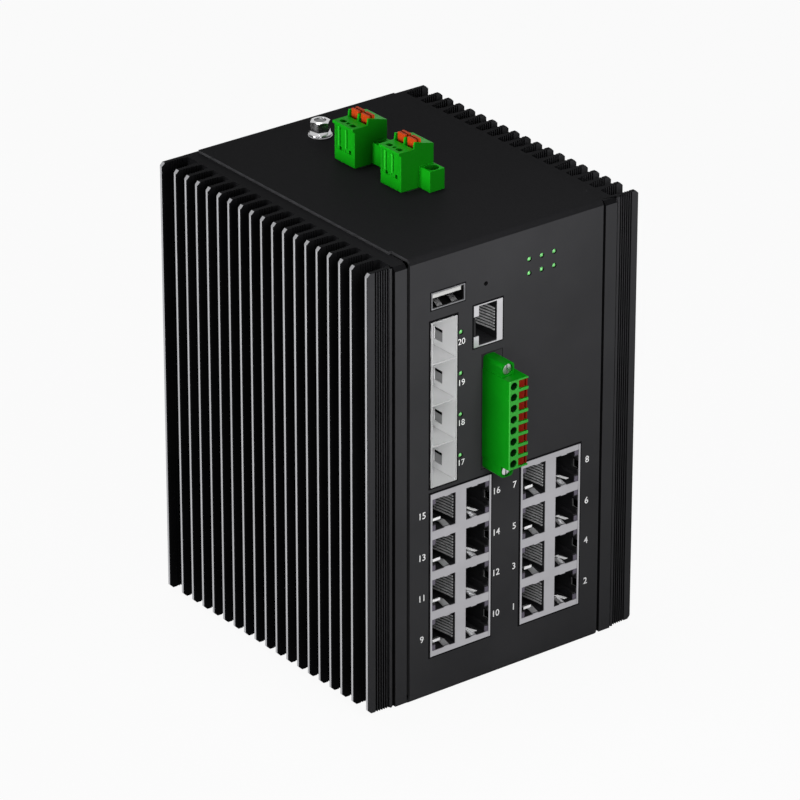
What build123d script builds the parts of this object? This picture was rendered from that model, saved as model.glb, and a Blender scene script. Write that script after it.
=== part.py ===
from build123d import *
import os

os.makedirs("parts", exist_ok=True)

# A managed PoE switch for a control cabinet: a folded steel cover between two
# finned side plates, with its sockets on the front and its power plugs on top.
# X runs along the front to the right, Y goes back and Z goes up. The origin is
# the middle of the underside. All sizes are millimetres.

# Case
case_width = 76.0
case_height = 153.5
case_depth = 109.0
sheet = 1.0
bend_radius = 2.0
side_lap = 1.05
lap_setback = 9.4
front_flange = 12.0
rear_panel_thickness = 1.2
panel_clearance = 0.1

# Side plates and their fins
side_gap = 0.3
base_thickness = 5.2
fin_reach = 15.35
fin_count = 19
end_fin_gap = 7.66
fin_tip_thickness = 1.5
fin_root_thickness = 2.9
fin_root_radius = 1.0
fin_tip_edge = 0.35
fin_corner = 1.0
fin_setback = 1.38
fin_overhang = 1.424
strip_inset = 1.1
strip_width = 4.5
strip_setback = 0.1
strip_bevel = 1.3
groove_width = 0.8
groove_depth = 1.8
lip_width = 0.9
lip_setback = 0.55
edge_relief = 3.0
rail_reach = 6.0
rail_depth = 6.0

# Boards
board_thickness = 1.6
port_board_half_gap = 30.0
port_board_margin = 9.0
port_board_front = 6.0
io_board_setback = 13.0
power_board_drop = 11.5
power_board_setback = 25.0
solder_tail = 1.2
parts_spread = 14.0
transformer_width = 20.0
transformer_depth = 18.0
transformer_height = 14.0
transformer_setback = 23.5
capacitor_count = 3
capacitor_radius = 5.0
capacitor_height = 20.0
capacitor_pitch = 13.0
capacitor_setback = 11.5

# Stacked network sockets, two columns of four in each block
jack_block_width = 24.0
jack_block_height = 57.2
jack_block_depth = 33.0
jack_block_offset = 18.0
jack_block_middle = 43.0
jack_rows = 4
jack_pitch = 14.1
jack_shell = 0.3
jack_fit = 0.05
jack_front = 0.2
jack_cavity_depth = 12.5
jack_cavity_half = 5.55
jack_bar_half = 2.1
jack_inner_step = 2.2
jack_channel_start = 0.95
jack_channel_half = 3.2
jack_window_edge = 0.65
jack_notch_half = 1.55
jack_notch_depth = 3.0
light_width = 1.4
light_half = 0.9
light_middle = 4.6
light_length = 13.9
light_recess = 0.15
contact_count = 8
contact_pitch = 1.02
contact_width = 0.46
contact_thickness = 0.3
contact_start = 1.2
contact_bend = 3.0
contact_rise = 1.5
spring_width = 2.2
spring_thickness = 0.25
spring_rise = 0.85
spring_reach = 6.0
spring_offset = 1.0

# Single service socket
console_width = 11.3
console_height = 14.2
console_x = -7.6
console_drop = 29.2
console_open_width = 7.1
console_open_half = 6.75
console_far_wall = 2.25
console_notch_half = 3.4

# Memory stick socket
usb_width = 13.1
usb_height = 5.7
usb_shell_thickness = 0.4
usb_x = -23.25
usb_drop = 16.0
usb_tongue_width = 11.2
usb_tongue_thickness = 1.84
usb_tongue_drop = 0.25
usb_tongue_setback = 1.0
usb_base_depth = 3.0

# Fibre module cage, four places in one column
cage_width = 10.0
cage_pitch = 14.1
cage_places = 4
cage_depth = 48.0
cage_wall = 0.4
cage_x = -24.9
cage_drop = 51.3
cage_cutout_gap = 0.75
cage_front = 0.4
cage_window = 4.2
cage_window_setback = 7.0
cage_window_drop = 2.6
cage_socket_depth = 10.0
cage_socket_reach = 6.4
cage_finger_length = 5.0
cage_finger_width = 2.6
cage_finger_rise = 0.6

# Indicators and reset
status_x = 8.65
status_pitch = 4.95
status_columns = 3
status_drops = (12.15, 16.95)
link_x = -18.05
link_lift = 0.7
indicator_radius = 0.75
indicator_hole_radius = 0.85
indicator_recess = 0.5
reset_x = -8.5
reset_drop = 15.65
reset_hole_radius = 0.75
reset_stem_radius = 1.2
reset_stem_setback = 2.6
reset_travel = 0.3
reset_switch_size = 6.0
reset_switch_height = 4.5

# Signal plug, eight poles under each other
signal_poles = 8
signal_pitch = 3.81
signal_x = -5.8
signal_drop = 59.3
signal_width = 7.6
signal_reach = 13.4
signal_ear_reach = 9.3
signal_ear_width = 4.9
signal_ear_height = 4.3
signal_wall = 0.9
signal_hole_radius = 1.3
signal_hole_offset = 1.9
signal_hole_depth = 9.0
signal_lever_width = 3.7
signal_lever_length = 5.0
signal_lever_travel = 1.5
signal_lever_recess = 0.4
signal_lever_slit = 0.5
lever_clearance = 0.1
signal_neck_depth = 7.5
header_wall = 1.0
header_fit = 0.2
pin_size = 1.0
pin_clearance = 0.06
pin_reach = 5.0
ear_screw_radius = 1.25
ear_screw_head_radius = 1.75
ear_screw_head = 1.8
ear_recess_radius = 1.9
screw_slot = 0.5

# Power plugs on top, two poles each
power_plug_x = -2.25
power_plug_setbacks = (36.95, 60.95)
power_poles = 2
power_pitch = 5.0
power_length = 10.55
power_width = 12.9
power_front_height = 13.4
power_rear_height = 15.6
power_back_height = 13.6
power_front_width = 5.2
power_lip = 0.8
power_lip_thickness = 1.3
power_ear_length = 5.6
power_ear_width = 5.8
power_ear_height = 7.1
power_ear_hole_radius = 2.2
power_hole_width = 1.7
power_hole_length = 2.3
power_hole_inset = 0.55
power_hole_depth = 8.0
power_test_size = 1.1
power_channel_depth = 0.25
power_channel_width = 4.2
power_channel_foot = 3.9
power_window = 1.1
power_lever_width = 3.85
power_lever_length = 2.45
power_lever_gap = 0.9
power_lever_top = 16.0
power_lever_height = 6.6
power_lever_travel = 1.5
power_lever_prong = 0.8
power_lever_notch = 0.65
power_neck_depth = 8.0
power_neck_width = 7.0

# Earth screw
ground_x = -1.2
ground_setback = 14.0
ground_shank_radius = 2.0
ground_hex = 7.0
ground_hex_height = 3.0
ground_flange_radius = 4.1
ground_flange = 1.0
ground_washer_radius = 4.25
ground_washer_thickness = 0.9
ground_nut_height = 2.6

# Rail clip on the back
clip_width = 42.0
clip_height = 62.0
clip_plate = 3.0
rail_height = 35.0
rail_lip = 1.6
clip_middle = 76.75
clip_under_head = 1.8
hook_wall = 2.4
hook_drop = 2.6
latch_width = 18.0
latch_length = 34.0
latch_thickness = 2.6
latch_travel = 4.0
latch_tooth = 2.2
latch_fit = 0.25
latch_tab = 2.4
latch_peg = 1.5
spring_pocket_depth = 2.2
spring_pocket_top = 1.0
spring_length_fitted = 8.4
spring_coil_radius = 0.8
spring_wire_radius = 0.2
spring_turns = 5
clip_screw_spacing_x = 32.0
clip_screw_spacing_z = 50.0

# M3 screws
m3_radius = 1.5
m3_hole_radius = 1.6
m3_head_radius = 2.75
m3_head = 1.9
m3_length = 6.0
spacer_across = 5.5

front_y = -case_depth / 2
back_y = case_depth / 2
half_width = case_width / 2
inside_top = case_height - sheet
console_z = case_height - console_drop
usb_z = case_height - usb_drop
cage_z = case_height - cage_drop
reset_z = case_height - reset_drop
signal_z = case_height - signal_drop
status_rows = [case_height - drop for drop in status_drops]
power_plug_y = [back_y - setback for setback in power_plug_setbacks]
ground_y = back_y - ground_setback


def bar(radius, sides=12):
    """Outline of a small round bar or screw, with its corners on the circle."""
    RegularPolygon(radius, sides)


def bore(radius, sides=12, mode=Mode.ADD):
    """Outline of a small round hole, with its flats on the circle."""
    RegularPolygon(radius, sides, major_radius=False, mode=mode)


# Folded cover: front, top and bottom in one sheet
with BuildPart() as cover_sheet:
    with BuildSketch(Plane.YZ):
        with BuildLine():
            FilletPolyline(
                (back_y, 0), (front_y, 0), (front_y, case_height), (back_y, case_height),
                radius=bend_radius,
            )
            FilletPolyline(
                (back_y, sheet), (front_y + sheet, sheet), (front_y + sheet, inside_top),
                (back_y, inside_top), radius=bend_radius - sheet,
            )
            Line((back_y, 0), (back_y, sheet))
            Line((back_y, inside_top), (back_y, case_height))
        make_face()
    extrude(amount=half_width, both=True)
    # Laps that lie on the ends of the side plates
    lap_depth = case_depth - lap_setback
    for level in (0, inside_top):
        with BuildSketch(Plane.XY.offset(level)):
            with Locations((0, lap_setback / 2)):
                Rectangle(case_width + 2 * side_lap, lap_depth)
        extrude(amount=sheet)
    # Flanges folded back along both sides of the front
    flange_height = case_height - 2 * (sheet + bend_radius)
    with BuildSketch(Plane.XY.offset(sheet + bend_radius)):
        for side in (-1, 1):
            with Locations((side * (half_width - sheet / 2), front_y + front_flange / 2)):
                Rectangle(sheet, front_flange)
    extrude(amount=flange_height)
    # Pressed nut under the top for the earth screw
    with BuildSketch(Plane.XY.offset(inside_top)):
        with Locations((ground_x, ground_y)):
            bar(ground_washer_radius)
    extrude(amount=-ground_nut_height)
    # Openings in the front
    with BuildSketch(Plane.XZ.offset(-front_y)):
        for side in (-1, 1):
            with Locations((side * jack_block_offset, jack_block_middle)):
                Rectangle(jack_block_width + 0.8, jack_block_height + 0.8)
        with Locations((cage_x, cage_z)):
            Rectangle(cage_width + 2 * cage_cutout_gap, cage_places * cage_pitch + 2 * cage_cutout_gap)
        with Locations((usb_x, usb_z)):
            Rectangle(usb_width + 0.5, usb_height + 0.5)
        with Locations((console_x, console_z)):
            Rectangle(console_width + 0.6, console_height + 0.6)
        with Locations((signal_x, signal_z)):
            Rectangle(
                signal_width + 2 * header_fit + 0.4,
                signal_poles * signal_pitch + 2 * (signal_ear_height + header_fit) + 0.4,
            )
        with Locations((reset_x, reset_z)):
            bore(reset_hole_radius, 16)
        for row in status_rows:
            for column in range(status_columns):
                with Locations((status_x + column * status_pitch, row)):
                    bore(indicator_hole_radius, 16)
        with Locations((link_x, cage_z + link_lift)):
            with GridLocations(1, cage_pitch, 1, cage_places):
                bore(indicator_hole_radius, 16)
    extrude(amount=-2 * sheet, mode=Mode.SUBTRACT)
    # Openings in the top
    with BuildSketch(Plane.XY.offset(case_height)):
        for plug_y in power_plug_y:
            with Locations((power_plug_x, plug_y)):
                Rectangle(
                    power_neck_width + 2 * (header_wall + header_fit),
                    power_length + 2 * (header_wall + header_fit),
                )
        with Locations((ground_x, ground_y)):
            bore(ground_shank_radius)
    extrude(amount=-(sheet + ground_nut_height), mode=Mode.SUBTRACT)
    # Screw holes in the side flanges and the underside
    flange_screw_y = front_y + front_flange - 4
    screw_levels = (case_height * 0.12, case_height * 0.5, case_height * 0.88)
    with BuildSketch(Plane.YZ.offset(-half_width)):
        with Locations(*[(flange_screw_y, level) for level in screw_levels]):
            bore(m3_hole_radius)
    extrude(amount=case_width, mode=Mode.SUBTRACT)
    rail_x = half_width + side_gap - rail_reach / 2
    rail_y = back_y - rear_panel_thickness - rail_depth / 2
    with BuildSketch(Plane.XY):
        with Locations((-rail_x, rail_y), (rail_x, rail_y)):
            bore(m3_hole_radius)
    extrude(amount=sheet, mode=Mode.SUBTRACT)
cover_sheet.part.label = "cover_sheet"
export_step(cover_sheet.part, "parts/cover_sheet.step")


# Finned side plates, one drawn section extruded upwards
plate_inner = half_width + side_gap
plate_root = half_width + side_gap + base_thickness
plate_tip = half_width + fin_reach
fin_front = front_y + fin_setback
fin_pitch = (case_depth - fin_setback + fin_overhang - fin_tip_thickness - 2 * end_fin_gap) / (fin_count - 3)
fins_depth = (fin_count - 3) * fin_pitch + 2 * end_fin_gap + fin_tip_thickness
fin_back = fin_front + fins_depth
fin_foot = plate_root + fin_root_radius
taper = (fin_root_thickness - fin_tip_thickness) / 2 / (plate_tip - plate_root)


def fin_face(middle, facing):
    """Points up one tapered side of a fin, from its root out to its bevelled tip."""
    def half(x):
        return fin_tip_thickness / 2 + taper * (plate_tip - x)

    edge = plate_tip - fin_tip_edge
    return [
        (fin_foot, middle + facing * half(fin_foot)), (edge, middle + facing * half(edge)),
        (plate_tip, middle + facing * (half(plate_tip) - fin_tip_edge)),
    ]


def slot_bottom(start, end):
    """Points round the bottom of the slot between two fins."""
    half_gap = (end - start) / 2
    curve = (half_gap ** 2 + fin_root_radius ** 2) / (2 * fin_root_radius)
    return [
        (plate_root + curve - (curve ** 2 - (share * half_gap) ** 2) ** 0.5, (start + end) / 2 + share * half_gap)
        for share in (-0.55, 0, 0.55)
    ]


fin_middles = [fin_front + fin_tip_thickness / 2]
for number in range(fin_count - 2):
    fin_middles.append(fin_front + fin_tip_thickness / 2 + end_fin_gap + number * fin_pitch)
fin_middles.append(fin_back - fin_tip_thickness / 2)

with BuildPart() as heatsink_right:
    with BuildSketch(Plane.XY.offset(sheet)):
        with BuildLine():
            strip_in = half_width + strip_inset
            strip_out = strip_in + strip_width
            lip_in = strip_out + groove_width
            lip_out = lip_in + lip_width
            edge_points = [
                (plate_inner - rail_reach, rail_y + rail_depth / 2),
                (plate_inner - rail_reach, rail_y - rail_depth / 2),
                (plate_inner, rail_y - rail_depth / 2),
                (plate_inner, front_y + edge_relief),
                (strip_in, front_y + edge_relief),
                (strip_in, front_y + strip_setback),
                (strip_out, front_y + strip_setback),
                (strip_out, front_y + groove_depth),
                (lip_in, front_y + groove_depth),
                (lip_in, front_y + lip_setback),
                (lip_out, front_y + lip_setback),
            ]
            # The first fin's outer face, then each slot and the fin behind it
            section = edge_points + fin_face(fin_middles[0], -1)[1:]
            for number, middle in enumerate(fin_middles[1:], start=1):
                far = fin_face(fin_middles[number - 1], 1)
                near = fin_face(middle, -1)
                section += list(reversed(far)) + slot_bottom(far[0][1], near[0][1]) + near
            # Plain back of the last fin
            section += [
                (plate_tip, fin_back - fin_tip_edge),
                (plate_tip - fin_tip_edge, fin_back),
                (plate_inner, fin_back),
                (plate_inner, back_y + panel_clearance),
                (plate_inner, rail_y + rail_depth / 2),
            ]
            Polyline(*section, close=True)
        make_face()
    extrude(amount=case_height - 2 * sheet)
    # Slanted corners at the fins' upper and lower ends
    with BuildSketch(Plane.XZ.offset(-fin_back - 1)):
        for level, turn in ((sheet, 1), (inside_top, -1)):
            with BuildLine():
                Polyline(
                    (plate_tip - fin_corner, level), (plate_tip + 1, level),
                    (plate_tip + 1, level + turn * (fin_corner + 1)), close=True,
                )
            make_face()
    extrude(amount=fins_depth + 4, mode=Mode.SUBTRACT)
    # Bevelled ends of the flat strip beside the front
    with BuildSketch(Plane.YZ.offset(strip_in - 0.5)):
        for level, turn in ((sheet, 1), (inside_top, -1)):
            with BuildLine():
                Polyline(
                    (front_y - 0.5, level), (front_y + strip_setback + strip_bevel, level),
                    (front_y - 0.5, level + turn * (strip_bevel + 0.5)), close=True,
                )
            make_face()
    extrude(amount=strip_width + 0.5, mode=Mode.SUBTRACT)
    # Tapped holes for the cover, the rear panel and the board spacers
    spacer_y = (front_y + 20, back_y - 18)
    spacer_z = (8.5, case_height - 8.5)
    with BuildSketch(Plane.YZ.offset(plate_inner)):
        with Locations(*[(flange_screw_y, level) for level in screw_levels]):
            bore(m3_radius)
    extrude(amount=base_thickness - 1.5, mode=Mode.SUBTRACT)
    with BuildSketch(Plane.XZ.offset(-(rail_y + rail_depth / 2))):
        with Locations(*[(rail_x, level) for level in screw_levels]):
            bore(m3_radius)
    extrude(amount=rail_depth, mode=Mode.SUBTRACT)
    with BuildSketch(Plane.XY.offset(sheet)):
        with Locations((rail_x, rail_y)):
            bore(m3_radius)
    extrude(amount=m3_length, mode=Mode.SUBTRACT)
heatsink_right.part.label = "heatsink_right"
export_step(heatsink_right.part, "parts/heatsink_right.step")

with BuildPart() as heatsink_left:
    add(heatsink_right.part)
    mirror(about=Plane.YZ, mode=Mode.REPLACE)
heatsink_left.part.label = "heatsink_left"
export_step(heatsink_left.part, "parts/heatsink_left.step")


# Rear panel with holes for its screws and for the rail clip
panel_width = 2 * (half_width - panel_clearance)
panel_height = case_height - 2 * (sheet + panel_clearance)
with BuildPart() as rear_panel:
    with BuildSketch(Plane.XZ.offset(-back_y)):
        with Locations((0, case_height / 2)):
            Rectangle(panel_width, panel_height)
        with Locations(*[(side * rail_x, level) for level in screw_levels for side in (-1, 1)]):
            bore(m3_hole_radius, mode=Mode.SUBTRACT)
        with Locations((0, clip_middle)):
            with GridLocations(clip_screw_spacing_x, clip_screw_spacing_z, 2, 2):
                bore(m3_radius, mode=Mode.SUBTRACT)
    extrude(amount=rear_panel_thickness)
rear_panel.part.label = "rear_panel"
export_step(rear_panel.part, "parts/rear_panel.step")


# Screws that hold the case together
with BuildPart() as case_screws:
    # through the rear panel into the rails
    for level in screw_levels:
        for side in (-1, 1):
            axis_plane = Plane(origin=(side * rail_x, back_y, level), x_dir=(1, 0, 0), z_dir=(0, -1, 0))
            with BuildSketch(axis_plane):
                bar(m3_head_radius)
            extrude(amount=-m3_head)
            with BuildSketch(axis_plane):
                bar(m3_radius, 8)
            extrude(amount=m3_length)
    # through the front flanges into the side plates
    for level in screw_levels:
        for side in (-1, 1):
            seat = side * (half_width - sheet)
            axis_plane = Plane(origin=(seat, flange_screw_y, level), x_dir=(0, 1, 0), z_dir=(side, 0, 0))
            with BuildSketch(axis_plane):
                bar(m3_head_radius)
            extrude(amount=-m3_head)
            with BuildSketch(axis_plane):
                bar(m3_radius, 8)
            extrude(amount=sheet + side_gap + base_thickness - 1.6)
    # through the rail clip into the rear panel
    for level in (clip_middle - clip_screw_spacing_z / 2, clip_middle + clip_screw_spacing_z / 2):
        for side in (-1, 1):
            seat = (side * clip_screw_spacing_x / 2, back_y + clip_under_head, level)
            axis_plane = Plane(origin=seat, x_dir=(1, 0, 0), z_dir=(0, -1, 0))
            with BuildSketch(axis_plane):
                bar(m3_head_radius)
            extrude(amount=-m3_head)
            with BuildSketch(axis_plane):
                bar(m3_radius, 8)
            extrude(amount=m3_length)
    # set screws under the case, flush with the sheet
    with BuildSketch(Plane.XY.offset(0.1)):
        with Locations((-rail_x, rail_y), (rail_x, rail_y)):
            bar(m3_radius, 8)
    extrude(amount=m3_length)
case_screws.part.label = "case_screws"
export_step(case_screws.part, "parts/case_screws.step")


# Upright port boards beside the side plates
port_board_depth = case_depth - port_board_front - port_board_margin
port_board_height = case_height - 2 * sheet - 3.0
port_board_y = front_y + port_board_front + port_board_depth / 2
for side, name in ((-1, "port_board_left"), (1, "port_board_right")):
    with BuildPart() as port_board:
        with BuildSketch(Plane.YZ.offset(side * port_board_half_gap)):
            with Locations((port_board_y, case_height / 2)):
                Rectangle(port_board_depth, port_board_height)
            with Locations(*[(y, z) for y in spacer_y for z in spacer_z]):
                bore(m3_hole_radius, mode=Mode.SUBTRACT)
        extrude(amount=side * board_thickness)
    port_board.part.label = name
    export_step(port_board.part, f"parts/{name}.step")


# Spacers between the port boards and the side plates, and their screws
spacer_length = half_width + side_gap - port_board_half_gap - board_thickness
with BuildPart() as board_spacers:
    for side in (-1, 1):
        with BuildSketch(Plane.YZ.offset(side * (port_board_half_gap + board_thickness))):
            with Locations(*[(y, z) for y in spacer_y for z in spacer_z]):
                RegularPolygon(spacer_across / 2, 6, major_radius=False)
                bore(m3_radius, mode=Mode.SUBTRACT)
        extrude(amount=side * spacer_length)
board_spacers.part.label = "board_spacers"
export_step(board_spacers.part, "parts/board_spacers.step")

with BuildPart() as board_screws:
    for side in (-1, 1):
        seat = Plane.YZ.offset(side * port_board_half_gap)
        with BuildSketch(seat):
            with Locations(*[(y, z) for y in spacer_y for z in spacer_z]):
                bar(m3_head_radius)
        extrude(amount=-side * m3_head)
        with BuildSketch(seat):
            with Locations(*[(y, z) for y in spacer_y for z in spacer_z]):
                bar(m3_radius, 8)
        extrude(amount=side * (board_thickness + m3_length))
board_screws.part.label = "board_screws"
export_step(board_screws.part, "parts/board_screws.step")


# Stacked network sockets
def port_area(block_x, column, row_z, near, far, low, high):
    """A rectangle in one port, from its block's outer side inwards and about its middle."""
    outer_side = block_x + column * jack_block_width / 2
    with Locations((outer_side - column * (near + far) / 2, row_z + (low + high) / 2)):
        Rectangle(far - near, high - low)


jack_inner_end = jack_block_width / 2 - jack_bar_half
jack_face_y = front_y - jack_front
row_levels = [jack_block_middle + (row - (jack_rows - 1) / 2) * jack_pitch for row in range(jack_rows)]

for side, name in ((-1, "left"), (1, "right")):
    block_x = side * jack_block_offset
    ports = [(column, level) for column in (-1, 1) for level in row_levels]

    # Pressed steel shell with the earth springs bent inwards at each port
    with BuildPart() as jack_shell_part:
        with BuildSketch(Plane.XZ.offset(-jack_face_y)):
            with Locations((block_x, jack_block_middle)):
                Rectangle(jack_block_width, jack_block_height)
        extrude(amount=-jack_block_depth)
        with BuildSketch(Plane.XZ.offset(-jack_face_y - jack_shell)):
            with Locations((block_x, jack_block_middle)):
                Rectangle(jack_block_width - 2 * jack_shell, jack_block_height - 2 * jack_shell)
        extrude(amount=-jack_block_depth, mode=Mode.SUBTRACT)
        with BuildSketch(Plane.XZ.offset(-jack_face_y)):
            for column, level in ports:
                port_area(block_x, column, level, jack_window_edge, jack_inner_end,
                          -jack_cavity_half, jack_cavity_half)
        extrude(amount=-2 * jack_shell, mode=Mode.SUBTRACT)
        with BuildSketch(Plane.XZ.offset(-jack_face_y)):
            for column, level in ports:
                port_area(block_x, column, level, -0.5, jack_window_edge + 0.1,
                          -jack_notch_half, jack_notch_half)
        extrude(amount=-jack_notch_depth, mode=Mode.SUBTRACT)
        for column, level in ports:
            spring_x = block_x + column * spring_offset + column * spring_width * 2
            for turn in (-1, 1):
                edge = jack_cavity_half
                crest = edge - spring_rise
                with BuildSketch(Plane.YZ.offset(spring_x)):
                    with BuildLine():
                        Polyline(*[
                            (jack_face_y + back, level + turn * rise) for back, rise in (
                                (0, edge + 0.1), (0, edge - spring_thickness),
                                (spring_reach / 2, crest - spring_thickness),
                                (spring_reach, edge - 2 * spring_thickness),
                                (spring_reach, edge - spring_thickness / 4),
                                (spring_reach / 2, crest),
                                (jack_shell, edge - 0.02), (jack_shell, edge + 0.1),
                            )
                        ], close=True)
                    make_face()
                extrude(amount=spring_width / 2, both=True)
    jack_shell_part.part.label = f"jack_shell_{name}"
    export_step(jack_shell_part.part, f"parts/jack_shell_{name}.step")

    # Moulded body with a cavity, a latch channel and two light channels in each port
    body_face_y = jack_face_y + jack_shell + jack_fit
    with BuildPart() as jack_body:
        with BuildSketch(Plane.XZ.offset(-body_face_y)):
            with Locations((block_x, jack_block_middle)):
                inner_margin = 2 * (jack_shell + jack_fit)
                Rectangle(jack_block_width - inner_margin, jack_block_height - inner_margin)
        extrude(amount=-(jack_block_depth - jack_shell - jack_fit))
        with BuildSketch(Plane.XZ.offset(-body_face_y)):
            for column, level in ports:
                port_area(block_x, column, level, jack_inner_step, jack_inner_end,
                          -jack_cavity_half, jack_cavity_half)
                port_area(block_x, column, level, jack_channel_start, jack_inner_step,
                          -jack_channel_half, jack_channel_half)
        extrude(amount=-(jack_cavity_depth - jack_shell), mode=Mode.SUBTRACT)
        with BuildSketch(Plane.XZ.offset(-body_face_y)):
            for column, level in ports:
                port_area(block_x, column, level, 0, jack_channel_start, -jack_notch_half, jack_notch_half)
        extrude(amount=-(jack_notch_depth - jack_shell), mode=Mode.SUBTRACT)
        with BuildSketch(Plane.XZ.offset(-body_face_y)):
            light_near = jack_window_edge + jack_fit
            for column, level in ports:
                for turn in (-1, 1):
                    middle = turn * light_middle
                    port_area(block_x, column, level, light_near - jack_fit, light_near + light_width + jack_fit,
                              middle - light_half - jack_fit, middle + light_half + jack_fit)
        extrude(amount=-light_length, mode=Mode.SUBTRACT)
    jack_body.part.label = f"jack_body_{name}"
    export_step(jack_body.part, f"parts/jack_body_{name}.step")

    # Eight spring wires in each port, bent away from the inner wall
    with BuildPart() as jack_contacts:
        for level in row_levels:
            with BuildSketch(Plane.XY.offset(level - contact_width / 2)):
                for column in (-1, 1):
                    wall_x = block_x + column * jack_bar_half
                    with BuildLine():
                        Polyline(*[
                            (wall_x + column * away, jack_face_y + back) for away, back in (
                                (0, contact_start), (0, contact_bend),
                                (contact_rise, jack_cavity_depth),
                                (contact_rise + contact_thickness, jack_cavity_depth),
                                (contact_thickness, contact_bend - contact_thickness / 2),
                                (contact_thickness, contact_start),
                            )
                        ], close=True)
                    make_face()
            wire = extrude(amount=contact_width, mode=Mode.PRIVATE)
            for number in range(contact_count):
                with Locations((0, 0, (number - (contact_count - 1) / 2) * contact_pitch)):
                    add(wire)
    jack_contacts.part.label = f"jack_contacts_{name}"
    export_step(jack_contacts.part, f"parts/jack_contacts_{name}.step")

# Clear light bars in the corners of the ports
with BuildPart() as jack_lights:
    with BuildSketch(Plane.XZ.offset(-(jack_face_y + light_recess))):
        for side in (-1, 1):
            for column in (-1, 1):
                for level in row_levels:
                    for turn in (-1, 1):
                        middle = turn * light_middle
                        port_area(side * jack_block_offset, column, level, light_near,
                                  light_near + light_width, middle - light_half, middle + light_half)
    extrude(amount=-light_length)
jack_lights.part.label = "jack_lights"
export_step(jack_lights.part, "parts/jack_lights.step")


# Service socket: the same kind of jack, alone and standing on the front board
console_depth = io_board_setback + jack_front
console_near = console_width - console_far_wall - console_open_width
console_left = console_x - console_width / 2
console_open_x = console_left + console_near + console_open_width / 2
with BuildPart() as console_shell:
    with BuildSketch(Plane.XZ.offset(-jack_face_y)):
        with Locations((console_x, console_z)):
            Rectangle(console_width, console_height)
    extrude(amount=-console_depth)
    with BuildSketch(Plane.XZ.offset(-jack_face_y - jack_shell)):
        with Locations((console_x, console_z)):
            Rectangle(console_width - 2 * jack_shell, console_height - 2 * jack_shell)
    extrude(amount=-console_depth, mode=Mode.SUBTRACT)
    with BuildSketch(Plane.XZ.offset(-jack_face_y)):
        with Locations((console_open_x, console_z)):
            Rectangle(console_open_width, 2 * console_open_half)
        with Locations((console_left + console_near / 2, console_z)):
            Rectangle(console_near + 0.2, 2 * console_notch_half)
    extrude(amount=-2 * jack_shell, mode=Mode.SUBTRACT)
console_shell.part.label = "console_shell"
export_step(console_shell.part, "parts/console_shell.step")

with BuildPart() as console_body:
    with BuildSketch(Plane.XZ.offset(-body_face_y)):
        with Locations((console_x, console_z)):
            Rectangle(console_width - inner_margin, console_height - inner_margin)
    extrude(amount=-(console_depth - jack_shell - jack_fit))
    with BuildSketch(Plane.XZ.offset(-body_face_y)):
        with Locations((console_open_x, console_z)):
            Rectangle(console_open_width, 2 * (console_open_half - jack_shell))
        with Locations((console_left + (console_near + jack_channel_start) / 2, console_z)):
            Rectangle(console_near - jack_channel_start + 0.1, 2 * jack_channel_half)
    extrude(amount=-(console_depth - 2), mode=Mode.SUBTRACT)
console_body.part.label = "console_body"
export_step(console_body.part, "parts/console_body.step")

with BuildPart() as console_contacts:
    console_wall_x = console_open_x + console_open_width / 2
    console_floor = jack_shell + jack_fit + console_depth - 2
    with BuildSketch(Plane.XY.offset(console_z - contact_width / 2)):
        with BuildLine():
            Polyline(*[
                (console_wall_x - away, jack_face_y + back) for away, back in (
                    (0, contact_start), (0, contact_bend), (contact_rise, console_floor),
                    (contact_rise + contact_thickness, console_floor),
                    (contact_thickness, contact_bend - contact_thickness / 2),
                    (contact_thickness, contact_start),
                )
            ], close=True)
        make_face()
    wire = extrude(amount=contact_width, mode=Mode.PRIVATE)
    for number in range(contact_count):
        with Locations((0, 0, (number - (contact_count - 1) / 2) * contact_pitch)):
            add(wire)
console_contacts.part.label = "console_contacts"
export_step(console_contacts.part, "parts/console_contacts.step")


# Memory stick socket: folded shell and the tongue that carries its contacts
with BuildPart() as usb_shell:
    with BuildSketch(Plane.XZ.offset(-jack_face_y)):
        with Locations((usb_x, usb_z)):
            Rectangle(usb_width, usb_height)
            Rectangle(
                usb_width - 2 * usb_shell_thickness, usb_height - 2 * usb_shell_thickness,
                mode=Mode.SUBTRACT,
            )
    extrude(amount=-console_depth)
usb_shell.part.label = "usb_shell"
export_step(usb_shell.part, "parts/usb_shell.step")

with BuildPart() as usb_tongue:
    tongue_z = usb_z + usb_height / 2 - usb_shell_thickness - usb_tongue_drop - usb_tongue_thickness / 2
    with BuildSketch(Plane.XZ.offset(-(jack_face_y + console_depth))):
        with Locations((usb_x, usb_z)):
            Rectangle(
                usb_width - 2 * (usb_shell_thickness + jack_fit),
                usb_height - 2 * (usb_shell_thickness + jack_fit),
            )
    extrude(amount=usb_base_depth)
    with BuildSketch(Plane.XZ.offset(-(jack_face_y + console_depth))):
        with Locations((usb_x, tongue_z)):
            Rectangle(usb_tongue_width, usb_tongue_thickness)
    extrude(amount=console_depth - usb_tongue_setback)
    chamfer(usb_tongue.faces().sort_by(Axis.Y)[0].edges().filter_by(Axis.X), length=0.3)
usb_tongue.part.label = "usb_tongue"
export_step(usb_tongue.part, "parts/usb_tongue.step")


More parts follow.
